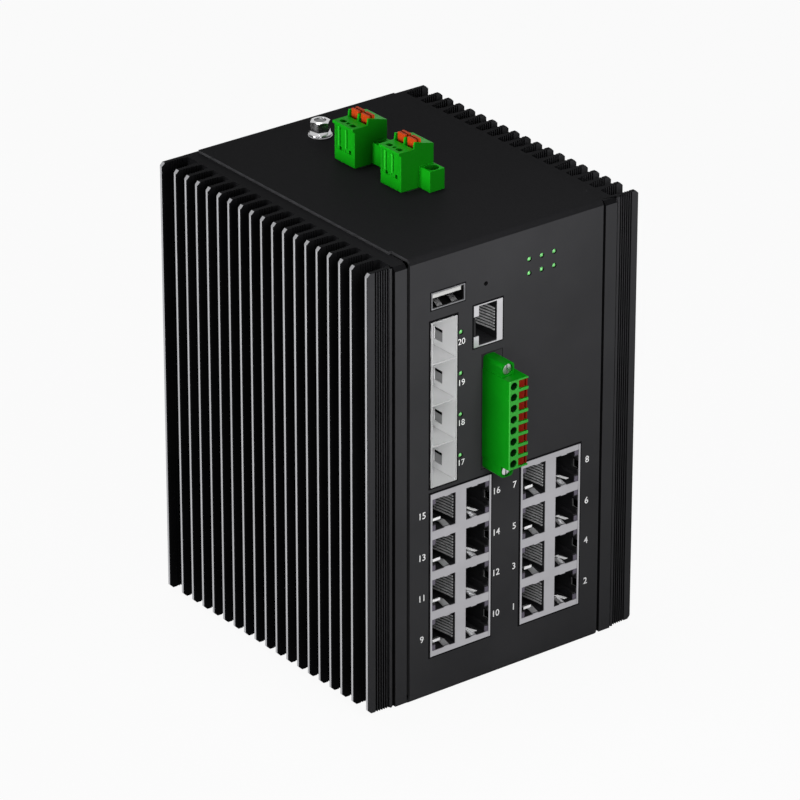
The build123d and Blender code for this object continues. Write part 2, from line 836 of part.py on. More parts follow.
# Fibre module cage with four places, its edge springs and its sockets
cage_height = cage_places * cage_pitch
cage_levels = [cage_z + (place - (cage_places - 1) / 2) * cage_pitch for place in range(cage_places)]
cage_face_y = front_y - cage_front
with BuildPart() as sfp_cage:
    with BuildSketch(Plane.XZ.offset(-cage_face_y)):
        with Locations((cage_x, cage_z)):
            Rectangle(cage_width, cage_height)
            with GridLocations(1, cage_pitch, 1, cage_places):
                Rectangle(cage_width - 2 * cage_wall, cage_pitch - cage_wall, mode=Mode.SUBTRACT)
    extrude(amount=-cage_depth)
    with BuildSketch(Plane.XZ.offset(-(cage_face_y + cage_depth))):
        with Locations((cage_x, cage_z)):
            Rectangle(cage_width, cage_height)
    extrude(amount=-cage_wall)
    # Latch windows in the wall on the right of each place
    with BuildSketch(Plane.YZ.offset(cage_x)):
        with Locations(*[
            (cage_face_y + cage_window_setback + cage_window / 2, level - cage_window_drop)
            for level in cage_levels
        ]):
            Rectangle(cage_window, cage_window)
    extrude(amount=cage_width, mode=Mode.SUBTRACT)
sfp_cage.part.label = "sfp_cage"
export_step(sfp_cage.part, "parts/sfp_cage.step")

with BuildPart() as sfp_fingers:
    finger_levels = [level + turn * cage_pitch / 4.4 for level in cage_levels for turn in (-1, 1)]
    for level in finger_levels:
        with BuildSketch(Plane.XY.offset(level)):
            for turn in (-1, 1):
                wall_x = cage_x + turn * cage_width / 2
                with BuildLine():
                    Polyline(*[
                        (wall_x + turn * away, front_y + back) for away, back in (
                            (0, -0.2), (cage_finger_rise, 0.4 * cage_finger_length),
                            (0, cage_finger_length), (0, cage_finger_length - 0.6),
                            (cage_finger_rise - 0.2, 0.4 * cage_finger_length), (0, 0.5),
                        )
                    ], close=True)
                make_face()
        extrude(amount=cage_finger_width / 2, both=True)
sfp_fingers.part.label = "sfp_fingers"
export_step(sfp_fingers.part, "parts/sfp_fingers.step")

with BuildPart() as sfp_sockets:
    with BuildSketch(Plane.XZ.offset(-(cage_face_y + cage_depth))):
        board_side = cage_x - cage_width / 2 + cage_wall
        with Locations((board_side + cage_socket_reach / 2, cage_z)):
            with GridLocations(1, cage_pitch, 1, cage_places):
                Rectangle(cage_socket_reach, cage_pitch - 2)
                with Locations((0.4, 0)):
                    Rectangle(2, cage_pitch - 4, mode=Mode.SUBTRACT)
    extrude(amount=cage_socket_depth)
sfp_sockets.part.label = "sfp_sockets"
export_step(sfp_sockets.part, "parts/sfp_sockets.step")


# Light pipes from the front board to the panel
indicator_length = io_board_setback - indicator_recess
with BuildPart() as status_lights:
    with BuildSketch(Plane.XZ.offset(-(front_y + indicator_recess))):
        for row in status_rows:
            for column in range(status_columns):
                with Locations((status_x + column * status_pitch, row)):
                    bar(indicator_radius, 16)
    extrude(amount=-indicator_length)
status_lights.part.label = "status_lights"
export_step(status_lights.part, "parts/status_lights.step")

with BuildPart() as link_lights:
    with BuildSketch(Plane.XZ.offset(-(front_y + indicator_recess))):
        with Locations((link_x, cage_z + link_lift)):
            with GridLocations(1, cage_pitch, 1, cage_places):
                bar(indicator_radius, 16)
    extrude(amount=-indicator_length)
link_lights.part.label = "link_lights"
export_step(link_lights.part, "parts/link_lights.step")


# Reset button behind its pin hole, and the switch it works
switch_face = io_board_setback - reset_switch_height
stem_sunk = 1.0
with BuildPart() as reset_button:
    with BuildSketch(Plane.XZ.offset(-(front_y + reset_stem_setback))):
        with Locations((reset_x, reset_z)):
            bar(reset_stem_radius)
    extrude(amount=-(switch_face - reset_stem_setback + stem_sunk))
reset_button.part.label = "reset_button"
export_step(reset_button.part, "parts/reset_button.step")

with BuildPart() as reset_switch:
    with BuildSketch(Plane.XZ.offset(-(front_y + io_board_setback))):
        with Locations((reset_x, reset_z)):
            Rectangle(reset_switch_size, reset_switch_size)
    extrude(amount=reset_switch_height)
    with BuildSketch(Plane.XZ.offset(-(front_y + switch_face))):
        with Locations((reset_x, reset_z)):
            bore(reset_stem_radius + lever_clearance)
    extrude(amount=-(stem_sunk + reset_travel + lever_clearance), mode=Mode.SUBTRACT)
reset_switch.part.label = "reset_switch"
export_step(reset_switch.part, "parts/reset_switch.step")


# Signal socket on the front board
signal_length = signal_poles * signal_pitch
header_width = signal_width + 2 * header_fit
header_height = signal_length + 2 * (signal_ear_height + header_fit)
cavity_width = header_width - 2 * header_wall
cavity_height = signal_length - 2 * header_fit
ear_x = signal_x - signal_width / 2 + header_fit + signal_ear_width / 2
ear_levels = [signal_z + turn * (signal_length + signal_ear_height) / 2 for turn in (-1, 1)]
pole_levels = [signal_z + (pole - (signal_poles - 1) / 2) * signal_pitch for pole in range(signal_poles)]
with BuildPart() as signal_header:
    with BuildSketch(Plane.XZ.offset(-front_y)):
        with Locations((signal_x, signal_z)):
            Rectangle(header_width, header_height)
    extrude(amount=-io_board_setback)
    with BuildSketch(Plane.XZ.offset(-front_y)):
        with Locations((signal_x, signal_z)):
            Rectangle(cavity_width, cavity_height)
    extrude(amount=-(signal_neck_depth + header_fit), mode=Mode.SUBTRACT)
    with BuildSketch(Plane.XZ.offset(-front_y)):
        with Locations(*[(signal_x, level) for level in pole_levels]):
            Rectangle(pin_size + 2 * pin_clearance, pin_size + 2 * pin_clearance)
    extrude(amount=-io_board_setback, mode=Mode.SUBTRACT)
    with BuildSketch(Plane.XZ.offset(-front_y)):
        with Locations(*[(ear_x, level) for level in ear_levels]):
            bore(ear_screw_radius)
    extrude(amount=-6, mode=Mode.SUBTRACT)
signal_header.part.label = "signal_header"
export_step(signal_header.part, "parts/signal_header.step")

with BuildPart() as signal_pins:
    with BuildSketch(Plane.XZ.offset(-(front_y + signal_neck_depth - pin_reach))):
        with Locations(*[(signal_x, level) for level in pole_levels]):
            Rectangle(pin_size, pin_size)
    extrude(amount=-(io_board_setback + board_thickness + solder_tail - signal_neck_depth + pin_reach))
signal_pins.part.label = "signal_pins"
export_step(signal_pins.part, "parts/signal_pins.step")


# Signal plug: wire holes on the left of its face, release levers on the right
plug_left = signal_x - signal_width / 2
plug_right = signal_x + signal_width / 2
plug_face_y = front_y - signal_reach
ear_face_y = front_y - signal_ear_reach
neck_half_x = cavity_width / 2 - header_fit
lever_left = plug_right - signal_lever_width
lever_height = signal_pitch - signal_wall - 2 * lever_clearance
pocket_depth = signal_lever_recess + signal_lever_length + signal_lever_travel + lever_clearance
with BuildPart() as signal_plug:
    with BuildSketch(Plane.XY.offset(signal_z - signal_length / 2)):
        with Locations((signal_x, front_y - signal_reach / 2)):
            plug_outline = Rectangle(signal_width, signal_reach)
        chamfer(plug_outline.vertices().group_by(Axis.Y)[0].sort_by(Axis.X)[0], length=0.5)
    extrude(amount=signal_length)
    with BuildSketch(Plane.XZ.offset(-ear_face_y)):
        with Locations((ear_x, signal_z)):
            ears = Rectangle(signal_ear_width, signal_length + 2 * signal_ear_height)
        fillet(ears.vertices(), radius=1.2)
    extrude(amount=-signal_ear_reach)
    with BuildSketch(Plane.XZ.offset(-front_y)):
        with Locations((signal_x, signal_z)):
            Rectangle(2 * neck_half_x, cavity_height - 2 * header_fit)
    extrude(amount=-signal_neck_depth)
    # Wire holes
    with BuildSketch(Plane.XZ.offset(-plug_face_y)):
        with Locations(*[(plug_left + signal_hole_offset, level) for level in pole_levels]):
            bore(signal_hole_radius, 16)
    extrude(amount=-signal_hole_depth, mode=Mode.SUBTRACT)
    # Lever pockets, open to the face and to the right
    with BuildSketch(Plane.XZ.offset(-plug_face_y)):
        for level in pole_levels:
            with Locations(((lever_left + plug_right) / 2 + 0.5 - lever_clearance / 2, level)):
                Rectangle(signal_lever_width + 1 + lever_clearance, signal_pitch - signal_wall)
    extrude(amount=-pocket_depth, mode=Mode.SUBTRACT)
    # Sockets for the pins
    with BuildSketch(Plane.XZ.offset(-(front_y + signal_neck_depth))):
        with Locations(*[(signal_x, level) for level in pole_levels]):
            Rectangle(pin_size + 2 * pin_clearance, pin_size + 2 * pin_clearance)
    extrude(amount=pin_reach + 0.5, mode=Mode.SUBTRACT)
    # Recessed screw holes in the ears
    with BuildSketch(Plane.XZ.offset(-ear_face_y)):
        with Locations(*[(ear_x, level) for level in ear_levels]):
            bore(ear_screw_radius + lever_clearance)
    extrude(amount=-signal_ear_reach, mode=Mode.SUBTRACT)
    with BuildSketch(Plane.XZ.offset(-ear_face_y)):
        with Locations(*[(ear_x, level) for level in ear_levels]):
            bore(ear_recess_radius, 16)
    extrude(amount=-(ear_screw_head + 0.6), mode=Mode.SUBTRACT)
signal_plug.part.label = "signal_plug"
export_step(signal_plug.part, "parts/signal_plug.step")

with BuildPart() as signal_screws:
    for level in ear_levels:
        seat = ear_face_y + ear_screw_head + 0.6
        head_plane = Plane(origin=(ear_x, seat, level), x_dir=(1, 0, 0), z_dir=(0, -1, 0))
        with BuildSketch(head_plane):
            bar(ear_screw_head_radius, 16)
        extrude(amount=ear_screw_head)
        with BuildSketch(head_plane.offset(ear_screw_head)):
            Rectangle(screw_slot, 2 * ear_screw_head_radius)
        extrude(amount=-screw_slot * 1.5, mode=Mode.SUBTRACT)
        with BuildSketch(head_plane):
            bar(ear_screw_radius)
        extrude(amount=-(front_y - seat + 5))
signal_screws.part.label = "signal_screws"
export_step(signal_screws.part, "parts/signal_screws.step")

# Release levers with a slit for a driver and a slanted left edge
lever_face_y = plug_face_y + signal_lever_recess
for number, level in enumerate(pole_levels, start=1):
    with BuildPart() as signal_lever:
        with BuildSketch(Plane.XY.offset(level - lever_height / 2)):
            with BuildLine():
                slit_x = lever_left + 0.66 * signal_lever_width
                Polyline(
                    (lever_left, lever_face_y + 0.8), (lever_left + 1.6, lever_face_y),
                    (slit_x, lever_face_y), (slit_x, lever_face_y + 0.9),
                    (slit_x + signal_lever_slit, lever_face_y + 0.9),
                    (slit_x + signal_lever_slit, lever_face_y), (plug_right - 0.1, lever_face_y),
                    (plug_right - 0.1, lever_face_y + signal_lever_length),
                    (lever_left, lever_face_y + signal_lever_length), close=True,
                )
            make_face()
        extrude(amount=lever_height)
    signal_lever.part.label = f"signal_lever_{number}"
    export_step(signal_lever.part, f"parts/signal_lever_{number}.step")


# Power sockets under the top and the plugs that stand in them
power_board_z = inside_top - power_board_drop
power_header_height = power_board_drop
power_left = power_plug_x - power_width / 2
power_right = power_plug_x + power_width / 2
power_top = case_height
power_neck_length = power_length - 2 * header_fit
lever_x = power_left + power_front_width + power_lever_gap
pole_offsets = [(pole - (power_poles - 1) / 2) * power_pitch for pole in range(power_poles)]
ear_middle_x = power_right - power_ear_width / 2
ear_middle = (power_length + power_ear_length) / 2
lever_foot = power_lever_top - power_lever_height
pocket_floor = lever_foot - power_lever_travel - lever_clearance
with BuildPart() as power_headers:
    for plug_y in power_plug_y:
        with BuildSketch(Plane.XY.offset(power_board_z)):
            with Locations((power_plug_x, plug_y)):
                Rectangle(
                    power_neck_width + 2 * (header_wall + header_fit) - 0.4,
                    power_neck_length + 2 * (header_wall + header_fit) - 0.4,
                )
        extrude(amount=power_header_height + sheet)
    for plug_y in power_plug_y:
        with BuildSketch(Plane.XY.offset(power_top)):
            with Locations((power_plug_x, plug_y)):
                Rectangle(power_neck_width + 2 * header_fit - 0.2, power_neck_length + 2 * header_fit - 0.2)
        extrude(amount=-(power_neck_depth + header_fit), mode=Mode.SUBTRACT)
        with BuildSketch(Plane.XY.offset(power_board_z)):
            with Locations(*[(power_plug_x, plug_y + offset) for offset in pole_offsets]):
                Rectangle(pin_size + 2 * pin_clearance, pin_size + 2 * pin_clearance)
        extrude(amount=power_header_height, mode=Mode.SUBTRACT)
power_headers.part.label = "power_headers"
export_step(power_headers.part, "parts/power_headers.step")

for number, plug_y in enumerate(power_plug_y, start=1):
    with BuildPart() as power_plug:
        with BuildSketch(Plane.XZ.offset(-(plug_y + power_length / 2))):
            with BuildLine():
                Polyline(*[
                    (power_left + across, power_top + up) for across, up in (
                        (0, 0), (0, power_front_height - power_lip_thickness),
                        (-power_lip, power_front_height - power_lip_thickness + 0.4),
                        (-power_lip, power_front_height), (power_front_width, power_front_height),
                        (power_front_width + 0.3, power_rear_height),
                        (power_width, power_back_height), (power_width, 0),
                    )
                ], close=True)
            make_face()
        extrude(amount=power_length)
        with BuildSketch(Plane.XY.offset(power_top)):
            with Locations((ear_middle_x, plug_y)):
                Rectangle(power_ear_width, power_length + 2 * power_ear_length)
        extrude(amount=power_ear_height)
        with BuildSketch(Plane.XY.offset(power_top)):
            with Locations((power_plug_x, plug_y)):
                Rectangle(power_neck_width - 0.2, power_neck_length - 0.2)
        extrude(amount=-power_neck_depth)
        # Holes through the ears
        with BuildSketch(Plane.XY.offset(power_top + power_ear_height)):
            with Locations(*[(ear_middle_x, plug_y + turn * ear_middle) for turn in (-1, 1)]):
                bore(power_ear_hole_radius, 16)
        extrude(amount=-(power_ear_height - 1), mode=Mode.SUBTRACT)
        # Wire holes with a test point between them
        with BuildSketch(Plane.XY.offset(power_top + power_front_height)):
            hole_x = power_left + power_hole_inset + power_hole_width / 2
            with Locations(*[(hole_x, plug_y + offset) for offset in pole_offsets]):
                wire_holes = Rectangle(power_hole_width, power_hole_length)
            chamfer(wire_holes.vertices(), length=0.4)
        extrude(amount=-power_hole_depth, mode=Mode.SUBTRACT)
        with BuildSketch(Plane.XY.offset(power_top + power_front_height)):
            with Locations((hole_x, plug_y)):
                Rectangle(power_test_size, power_test_size)
        extrude(amount=-3, mode=Mode.SUBTRACT)
        # Lever pockets
        with BuildSketch(Plane.XY.offset(power_top + power_rear_height + 1)):
            pocket_start = lever_x - power_lever_gap
            pocket_end = lever_x + power_lever_length + lever_clearance
            for offset in pole_offsets:
                with Locations(((pocket_start + pocket_end) / 2, plug_y + offset)):
                    Rectangle(pocket_end - pocket_start, power_lever_width + 2 * lever_clearance)
        extrude(amount=-(power_rear_height + 1 - pocket_floor), mode=Mode.SUBTRACT)
        # Recesses behind the levers
        with BuildSketch(Plane.XY.offset(power_top + power_back_height)):
            with Locations(*[(power_right - 1.9, plug_y + offset * 0.75) for offset in pole_offsets]):
                Rectangle(2.0, 2.6)
        extrude(amount=-2, mode=Mode.SUBTRACT)
        # Shallow channels down the left face
        with BuildSketch(Plane.YZ.offset(power_left)):
            for offset in pole_offsets:
                low, high = power_channel_foot, power_front_height - power_lip_thickness - 0.4
                with Locations((plug_y + offset, power_top + (low + high) / 2)):
                    Rectangle(power_channel_width, high - low)
        extrude(amount=power_channel_depth, mode=Mode.SUBTRACT)
        # Small windows at the channels' feet
        with BuildSketch(Plane.YZ.offset(power_left)):
            with Locations(*[(plug_y + offset, power_top + low + power_window / 2) for offset in pole_offsets]):
                Rectangle(power_window, power_window)
        extrude(amount=power_window, mode=Mode.SUBTRACT)
        # Sockets for the pins
        with BuildSketch(Plane.XY.offset(power_top - power_neck_depth)):
            with Locations(*[(power_plug_x, plug_y + offset) for offset in pole_offsets]):
                Rectangle(pin_size + 2 * pin_clearance, pin_size + 2 * pin_clearance)
        extrude(amount=pin_reach + 0.5, mode=Mode.SUBTRACT)
    power_plug.part.label = f"power_plug_{number}"
    export_step(power_plug.part, f"parts/power_plug_{number}.step")

    for pole, offset in enumerate(pole_offsets, start=1):
        with BuildPart() as power_lever:
            with BuildSketch(Plane.XZ.offset(-(plug_y + offset + power_lever_width / 2))):
                with BuildLine():
                    prong = power_lever_prong
                    Polyline(*[
                        (lever_x + across, power_top + up) for across, up in (
                            (0, lever_foot), (0, power_lever_top), (prong, power_lever_top),
                            (prong, power_lever_top - 1.8),
                            (prong + power_lever_notch, power_lever_top - 1.8),
                            (prong + power_lever_notch, power_lever_top),
                            (power_lever_length, power_lever_top), (power_lever_length, lever_foot),
                        )
                    ], close=True)
                make_face()
            extrude(amount=power_lever_width)
        power_lever.part.label = f"power_lever_{number}_{pole}"
        export_step(power_lever.part, f"parts/power_lever_{number}_{pole}.step")

with BuildPart() as power_pins:
    with BuildSketch(Plane.XY.offset(power_top - power_neck_depth + pin_reach)):
        with Locations(*[
            (power_plug_x, plug_y + offset) for plug_y in power_plug_y for offset in pole_offsets
        ]):
            Rectangle(pin_size, pin_size)
    pin_length = power_header_height + sheet - power_neck_depth + pin_reach
    extrude(amount=-(pin_length + board_thickness + solder_tail))
power_pins.part.label = "power_pins"
export_step(power_pins.part, "parts/power_pins.step")


# Front board, cut away beside the fibre cage, and the power board under the top
io_board_right = port_board_half_gap
io_board_left = link_x - indicator_radius - 0.5
io_board_low = jack_block_middle + jack_block_height / 2 + 1.5
io_board_high = case_height - 5.0
io_arm_low = cage_z + cage_height / 2 + 0.8
with BuildPart() as io_board:
    with BuildSketch(Plane.XZ.offset(-(front_y + io_board_setback))):
        with BuildLine():
            Polyline(
                (io_board_left, io_board_low), (io_board_right, io_board_low),
                (io_board_right, io_board_high), (-io_board_right, io_board_high),
                (-io_board_right, io_arm_low), (io_board_left, io_arm_low), close=True,
            )
        make_face()
        with Locations(*[(signal_x, level) for level in pole_levels]):
            Rectangle(pin_size + 2 * pin_clearance, pin_size + 2 * pin_clearance, mode=Mode.SUBTRACT)
    extrude(amount=-board_thickness)
io_board.part.label = "io_board"
export_step(io_board.part, "parts/io_board.step")

power_board_front = front_y + power_board_setback
power_board_back = back_y - port_board_margin
power_board_half = 27.5
hanger_x = power_board_half - 4
hanger_y = (power_board_front + 5, power_board_back - 5)
with BuildPart() as power_board:
    with BuildSketch(Plane.XY.offset(power_board_z)):
        with Locations((0, (power_board_front + power_board_back) / 2)):
            Rectangle(2 * power_board_half, power_board_back - power_board_front)
        with Locations(*[
            (power_plug_x, plug_y + offset) for plug_y in power_plug_y for offset in pole_offsets
        ]):
            Rectangle(pin_size + 2 * pin_clearance, pin_size + 2 * pin_clearance, mode=Mode.SUBTRACT)
    extrude(amount=-board_thickness)
power_board.part.label = "power_board"
export_step(power_board.part, "parts/power_board.step")

with BuildPart() as power_hangers:
    with BuildSketch(Plane.XY.offset(power_board_z)):
        with Locations(*[(turn * hanger_x, y) for y in hanger_y for turn in (-1, 1)]):
            RegularPolygon(spacer_across / 2, 6, major_radius=False)
    extrude(amount=power_board_drop)
power_hangers.part.label = "power_hangers"
export_step(power_hangers.part, "parts/power_hangers.step")

# Parts that hang under the power board: a transformer and three capacitors
with BuildPart() as power_parts:
    power_under = power_board_z - board_thickness
    with BuildSketch(Plane.XY.offset(power_under)):
        with Locations((-parts_spread, power_board_back - transformer_setback)):
            Rectangle(transformer_width, transformer_depth)
    extrude(amount=-transformer_height)
    with BuildSketch(Plane.XY.offset(power_under)):
        for number in range(capacitor_count):
            with Locations((parts_spread, power_board_back - capacitor_setback - number * capacitor_pitch)):
                bar(capacitor_radius, 16)
    extrude(amount=-capacitor_height)
power_parts.part.label = "power_parts"
export_step(power_parts.part, "parts/power_parts.step")

# Chips on the outer faces of the port boards, and the blocks that lead their heat away
chip_thickness = 2.2
chip_layout = ((12, 88, 28, 28), (-20, 50, 14, 14), (-20, 28, 14, 14))
block_thickness = spacer_length - chip_thickness
for_blocks = ((12, 88, 38, 38), (-20, 39, 18, 42))
with BuildPart() as switch_chips:
    for side in (-1, 1):
        with BuildSketch(Plane.YZ.offset(side * (port_board_half_gap + board_thickness))):
            for y, z, across, up in chip_layout:
                with Locations((y, z)):
                    Rectangle(across, up)
        extrude(amount=side * chip_thickness)
switch_chips.part.label = "switch_chips"
export_step(switch_chips.part, "parts/switch_chips.step")

with BuildPart() as heat_blocks:
    for side in (-1, 1):
        with BuildSketch(Plane.YZ.offset(side * (port_board_half_gap + board_thickness + chip_thickness))):
            for y, z, across, up in for_blocks:
                with Locations((y, z)):
                    Rectangle(across, up)
        extrude(amount=side * block_thickness)
heat_blocks.part.label = "heat_blocks"
export_step(heat_blocks.part, "parts/heat_blocks.step")


# Earth screw with its flange, and the washer under it
washer_top = case_height + ground_washer_thickness
with BuildPart() as ground_screw:
    with BuildSketch(Plane.XY.offset(washer_top)):
        with Locations((ground_x, ground_y)):
            bar(ground_flange_radius, 24)
    extrude(amount=ground_flange, taper=20)
    with BuildSketch(Plane.XY.offset(washer_top + ground_flange)):
        with Locations((ground_x, ground_y)):
            RegularPolygon(ground_hex / 2, 6, major_radius=False, rotation=12)
    extrude(amount=ground_hex_height)
    with BuildSketch(Plane.XY.offset(washer_top)):
        with Locations((ground_x, ground_y)):
            bar(ground_shank_radius)
    extrude(amount=-(ground_washer_thickness + sheet + ground_nut_height))
    chamfer(ground_screw.faces().sort_by(Axis.Z)[-1].edges(), length=0.4)
ground_screw.part.label = "ground_screw"
export_step(ground_screw.part, "parts/ground_screw.step")

with BuildPart() as ground_washer:
    with BuildSketch(Plane.XY.offset(case_height)):
        with Locations((ground_x, ground_y)):
            bar(ground_washer_radius, 24)
            bore(ground_shank_radius, mode=Mode.SUBTRACT)
    extrude(amount=ground_washer_thickness)
ground_washer.part.label = "ground_washer"
export_step(ground_washer.part, "parts/ground_washer.step")


# Rail clip: a plate with a fixed hook above, and a sprung latch that slides below
hook_edge = clip_middle + rail_height / 2
latch_edge = clip_middle - rail_height / 2
clip_back = back_y + clip_plate
clip_low = clip_middle - clip_height / 2
clip_high = clip_middle + clip_height / 2
guide_wall = 3.0
guide_back = clip_back + latch_thickness + latch_fit
pocket_high = latch_edge - spring_pocket_top
spring_top = pocket_high - 0.2 - latch_peg
pocket_low = spring_top - spring_length_fitted
with BuildPart() as din_clip:
    with BuildSketch(Plane.YZ.offset(-clip_width / 2)):
        with BuildLine():
            Polyline(
                (back_y, clip_low), (clip_back, clip_low), (clip_back, hook_edge),
                (clip_back + rail_lip, hook_edge), (clip_back + rail_lip, hook_edge - hook_drop),
                (clip_back + rail_lip + hook_wall, hook_edge - hook_drop),
                (clip_back + rail_lip + hook_wall, hook_edge + 1.5),
                (clip_back + 1, clip_high), (back_y, clip_high), close=True,
            )
        make_face()
    extrude(amount=clip_width)
    # Guides on both sides of the latch, closed over its edges
    with BuildSketch(Plane.XY.offset(clip_low)):
        for side in (-1, 1):
            with BuildLine():
                near_x = latch_width / 2 + latch_fit
                Polyline(*[
                    (side * across, back) for across, back in (
                        (near_x, clip_back), (near_x, guide_back), (near_x - 2, guide_back),
                        (near_x - 2, guide_back + 1.2), (near_x + guide_wall, guide_back + 1.2),
                        (near_x + guide_wall, clip_back),
                    )
                ], close=True)
            make_face()
    extrude(amount=latch_edge - latch_tooth - latch_travel - 1.0 - clip_low)
    # Room for the spring behind the latch, and for the peg that presses on it
    with BuildSketch(Plane.XZ.offset(-clip_back)):
        with Locations((0, (pocket_low + pocket_high) / 2)):
            Rectangle(2 * spring_coil_radius + 1.4, pocket_high - pocket_low)
    extrude(amount=spring_pocket_depth, mode=Mode.SUBTRACT)
    # Countersunk screw holes
    with BuildSketch(Plane.XZ.offset(-(back_y + clip_under_head))):
        with Locations((0, clip_middle)):
            with GridLocations(clip_screw_spacing_x, clip_screw_spacing_z, 2, 2):
                bore(m3_head_radius + latch_fit)
    extrude(amount=-clip_plate - hook_wall, mode=Mode.SUBTRACT)
    with BuildSketch(Plane.XZ.offset(-clip_back)):
        with Locations((0, clip_middle)):
            with GridLocations(clip_screw_spacing_x, clip_screw_spacing_z, 2, 2):
                bore(m3_hole_radius)
    extrude(amount=clip_plate, mode=Mode.SUBTRACT)
din_clip.part.label = "din_clip"
export_step(din_clip.part, "parts/din_clip.step")

# Latch with a tooth for the rail above and a tab for a driver below
with BuildPart() as din_latch:
    latch_low = latch_edge - latch_length
    latch_front = clip_back + panel_clearance
    with BuildSketch(Plane.YZ.offset(-latch_width / 2)):
        with BuildLine():
            tooth_back = clip_back + rail_lip + 1.8
            Polyline(
                (latch_front, latch_low), (clip_back + latch_thickness + latch_tab, latch_low),
                (clip_back + latch_thickness + latch_tab, latch_low + 1.6),
                (clip_back + latch_thickness, latch_low + 4), (clip_back + latch_thickness, latch_edge - 3),
                (tooth_back, latch_edge - 1.5), (tooth_back, latch_edge + 0.6),
                (clip_back + rail_lip, latch_edge + latch_tooth), (clip_back + rail_lip, latch_edge),
                (latch_front, latch_edge), close=True,
            )
        make_face()
    extrude(amount=latch_width)
    # Slot for a screwdriver
    with BuildSketch(Plane.XZ.offset(-(clip_back + latch_thickness + latch_tab))):
        with Locations((0, latch_low + 6)):
            Rectangle(6, 1.6)
    extrude(amount=latch_thickness + latch_tab, mode=Mode.SUBTRACT)
    with BuildSketch(Plane.XZ.offset(-latch_front)):
        with Locations((0, spring_top + latch_peg / 2)):
            Rectangle(2 * spring_coil_radius, latch_peg)
    extrude(amount=spring_pocket_depth)
din_latch.part.label = "din_latch"
export_step(din_latch.part, "parts/din_latch.step")

with BuildPart() as din_spring:
    with BuildLine() as coil:
        Helix(
            pitch=(spring_length_fitted - 2 * spring_wire_radius) / spring_turns,
            height=spring_length_fitted - 2 * spring_wire_radius, radius=spring_coil_radius,
            center=(0, clip_back - spring_pocket_depth / 2, spring_top - spring_length_fitted + spring_wire_radius),
        )
    with BuildSketch(Plane(origin=coil.line @ 0, z_dir=coil.line % 0)):
        RegularPolygon(spring_wire_radius, 4)
    sweep()
din_spring.part.label = "din_spring"
export_step(din_spring.part, "parts/din_spring.step")
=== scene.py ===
import bmesh
import bpy
import numpy as np
from mathutils import Matrix, Vector


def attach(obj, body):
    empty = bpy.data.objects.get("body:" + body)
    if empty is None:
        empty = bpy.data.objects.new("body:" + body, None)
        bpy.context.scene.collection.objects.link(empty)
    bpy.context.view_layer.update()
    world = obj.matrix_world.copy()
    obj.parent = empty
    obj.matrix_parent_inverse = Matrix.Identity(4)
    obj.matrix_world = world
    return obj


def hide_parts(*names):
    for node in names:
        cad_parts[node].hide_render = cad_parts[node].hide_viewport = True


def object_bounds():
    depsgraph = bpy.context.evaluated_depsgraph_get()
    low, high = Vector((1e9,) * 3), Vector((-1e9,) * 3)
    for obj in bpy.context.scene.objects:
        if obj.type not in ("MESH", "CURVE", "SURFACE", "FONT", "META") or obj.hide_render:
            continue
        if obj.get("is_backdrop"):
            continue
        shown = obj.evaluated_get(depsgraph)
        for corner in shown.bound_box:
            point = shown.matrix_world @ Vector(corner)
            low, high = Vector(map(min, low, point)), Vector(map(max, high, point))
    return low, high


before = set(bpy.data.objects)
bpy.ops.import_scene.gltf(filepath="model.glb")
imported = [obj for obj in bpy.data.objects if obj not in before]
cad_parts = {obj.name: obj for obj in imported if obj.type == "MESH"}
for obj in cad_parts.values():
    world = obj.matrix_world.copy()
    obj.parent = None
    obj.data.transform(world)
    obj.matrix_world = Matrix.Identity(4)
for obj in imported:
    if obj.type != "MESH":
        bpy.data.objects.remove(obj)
cadLow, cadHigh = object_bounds()
mm = 0.001
panelFace = -54.5  # the front panel's face, in mm
frontY = panelFace * mm
print("frame loaded,", len(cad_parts), "nodes")


# Materials

def newMaterial(name, colour, roughness, metallic=0.0, specular=0.5):
    mat = bpy.data.materials.new(name)
    mat.use_nodes = True
    shader = mat.node_tree.nodes["Principled BSDF"]
    shader.inputs["Base Color"].default_value = (*colour, 1)
    shader.inputs["Roughness"].default_value = roughness
    shader.inputs["Metallic"].default_value = metallic
    shader.inputs["Specular IOR Level"].default_value = specular
    return mat, shader


def patternSource(mat, stretch=(1, 1, 1)):
    # Object coordinates, stretched so that a pattern can run along one direction
    nodes, links = mat.node_tree.nodes, mat.node_tree.links
    coords = nodes.new("ShaderNodeTexCoord")
    mapping = nodes.new("ShaderNodeMapping")
    mapping.inputs["Scale"].default_value = stretch
    links.new(coords.outputs["Object"], mapping.inputs["Vector"])
    return mapping.outputs["Vector"]


def addNoise(mat, vector, scale, detail=4.0, rough=0.55):
    noise = mat.node_tree.nodes.new("ShaderNodeTexNoise")
    noise.inputs["Scale"].default_value = scale
    noise.inputs["Detail"].default_value = detail
    noise.inputs["Roughness"].default_value = rough
    mat.node_tree.links.new(vector, noise.inputs["Vector"])
    return noise.outputs["Fac"]


def rampBetween(mat, fac, low, high, start=0.35, end=0.65):
    ramp = mat.node_tree.nodes.new("ShaderNodeValToRGB")
    ramp.color_ramp.elements[0].position = start
    ramp.color_ramp.elements[1].position = end
    ramp.color_ramp.elements[0].color = low
    ramp.color_ramp.elements[1].color = high
    mat.node_tree.links.new(fac, ramp.inputs["Fac"])
    return ramp.outputs["Color"]


def addBump(mat, shader, height, distance, strength=0.4):
    bump = mat.node_tree.nodes.new("ShaderNodeBump")
    bump.inputs["Strength"].default_value = strength
    bump.inputs["Distance"].default_value = distance
    mat.node_tree.links.new(height, bump.inputs["Height"])
    mat.node_tree.links.new(bump.outputs["Normal"], shader.inputs["Normal"])


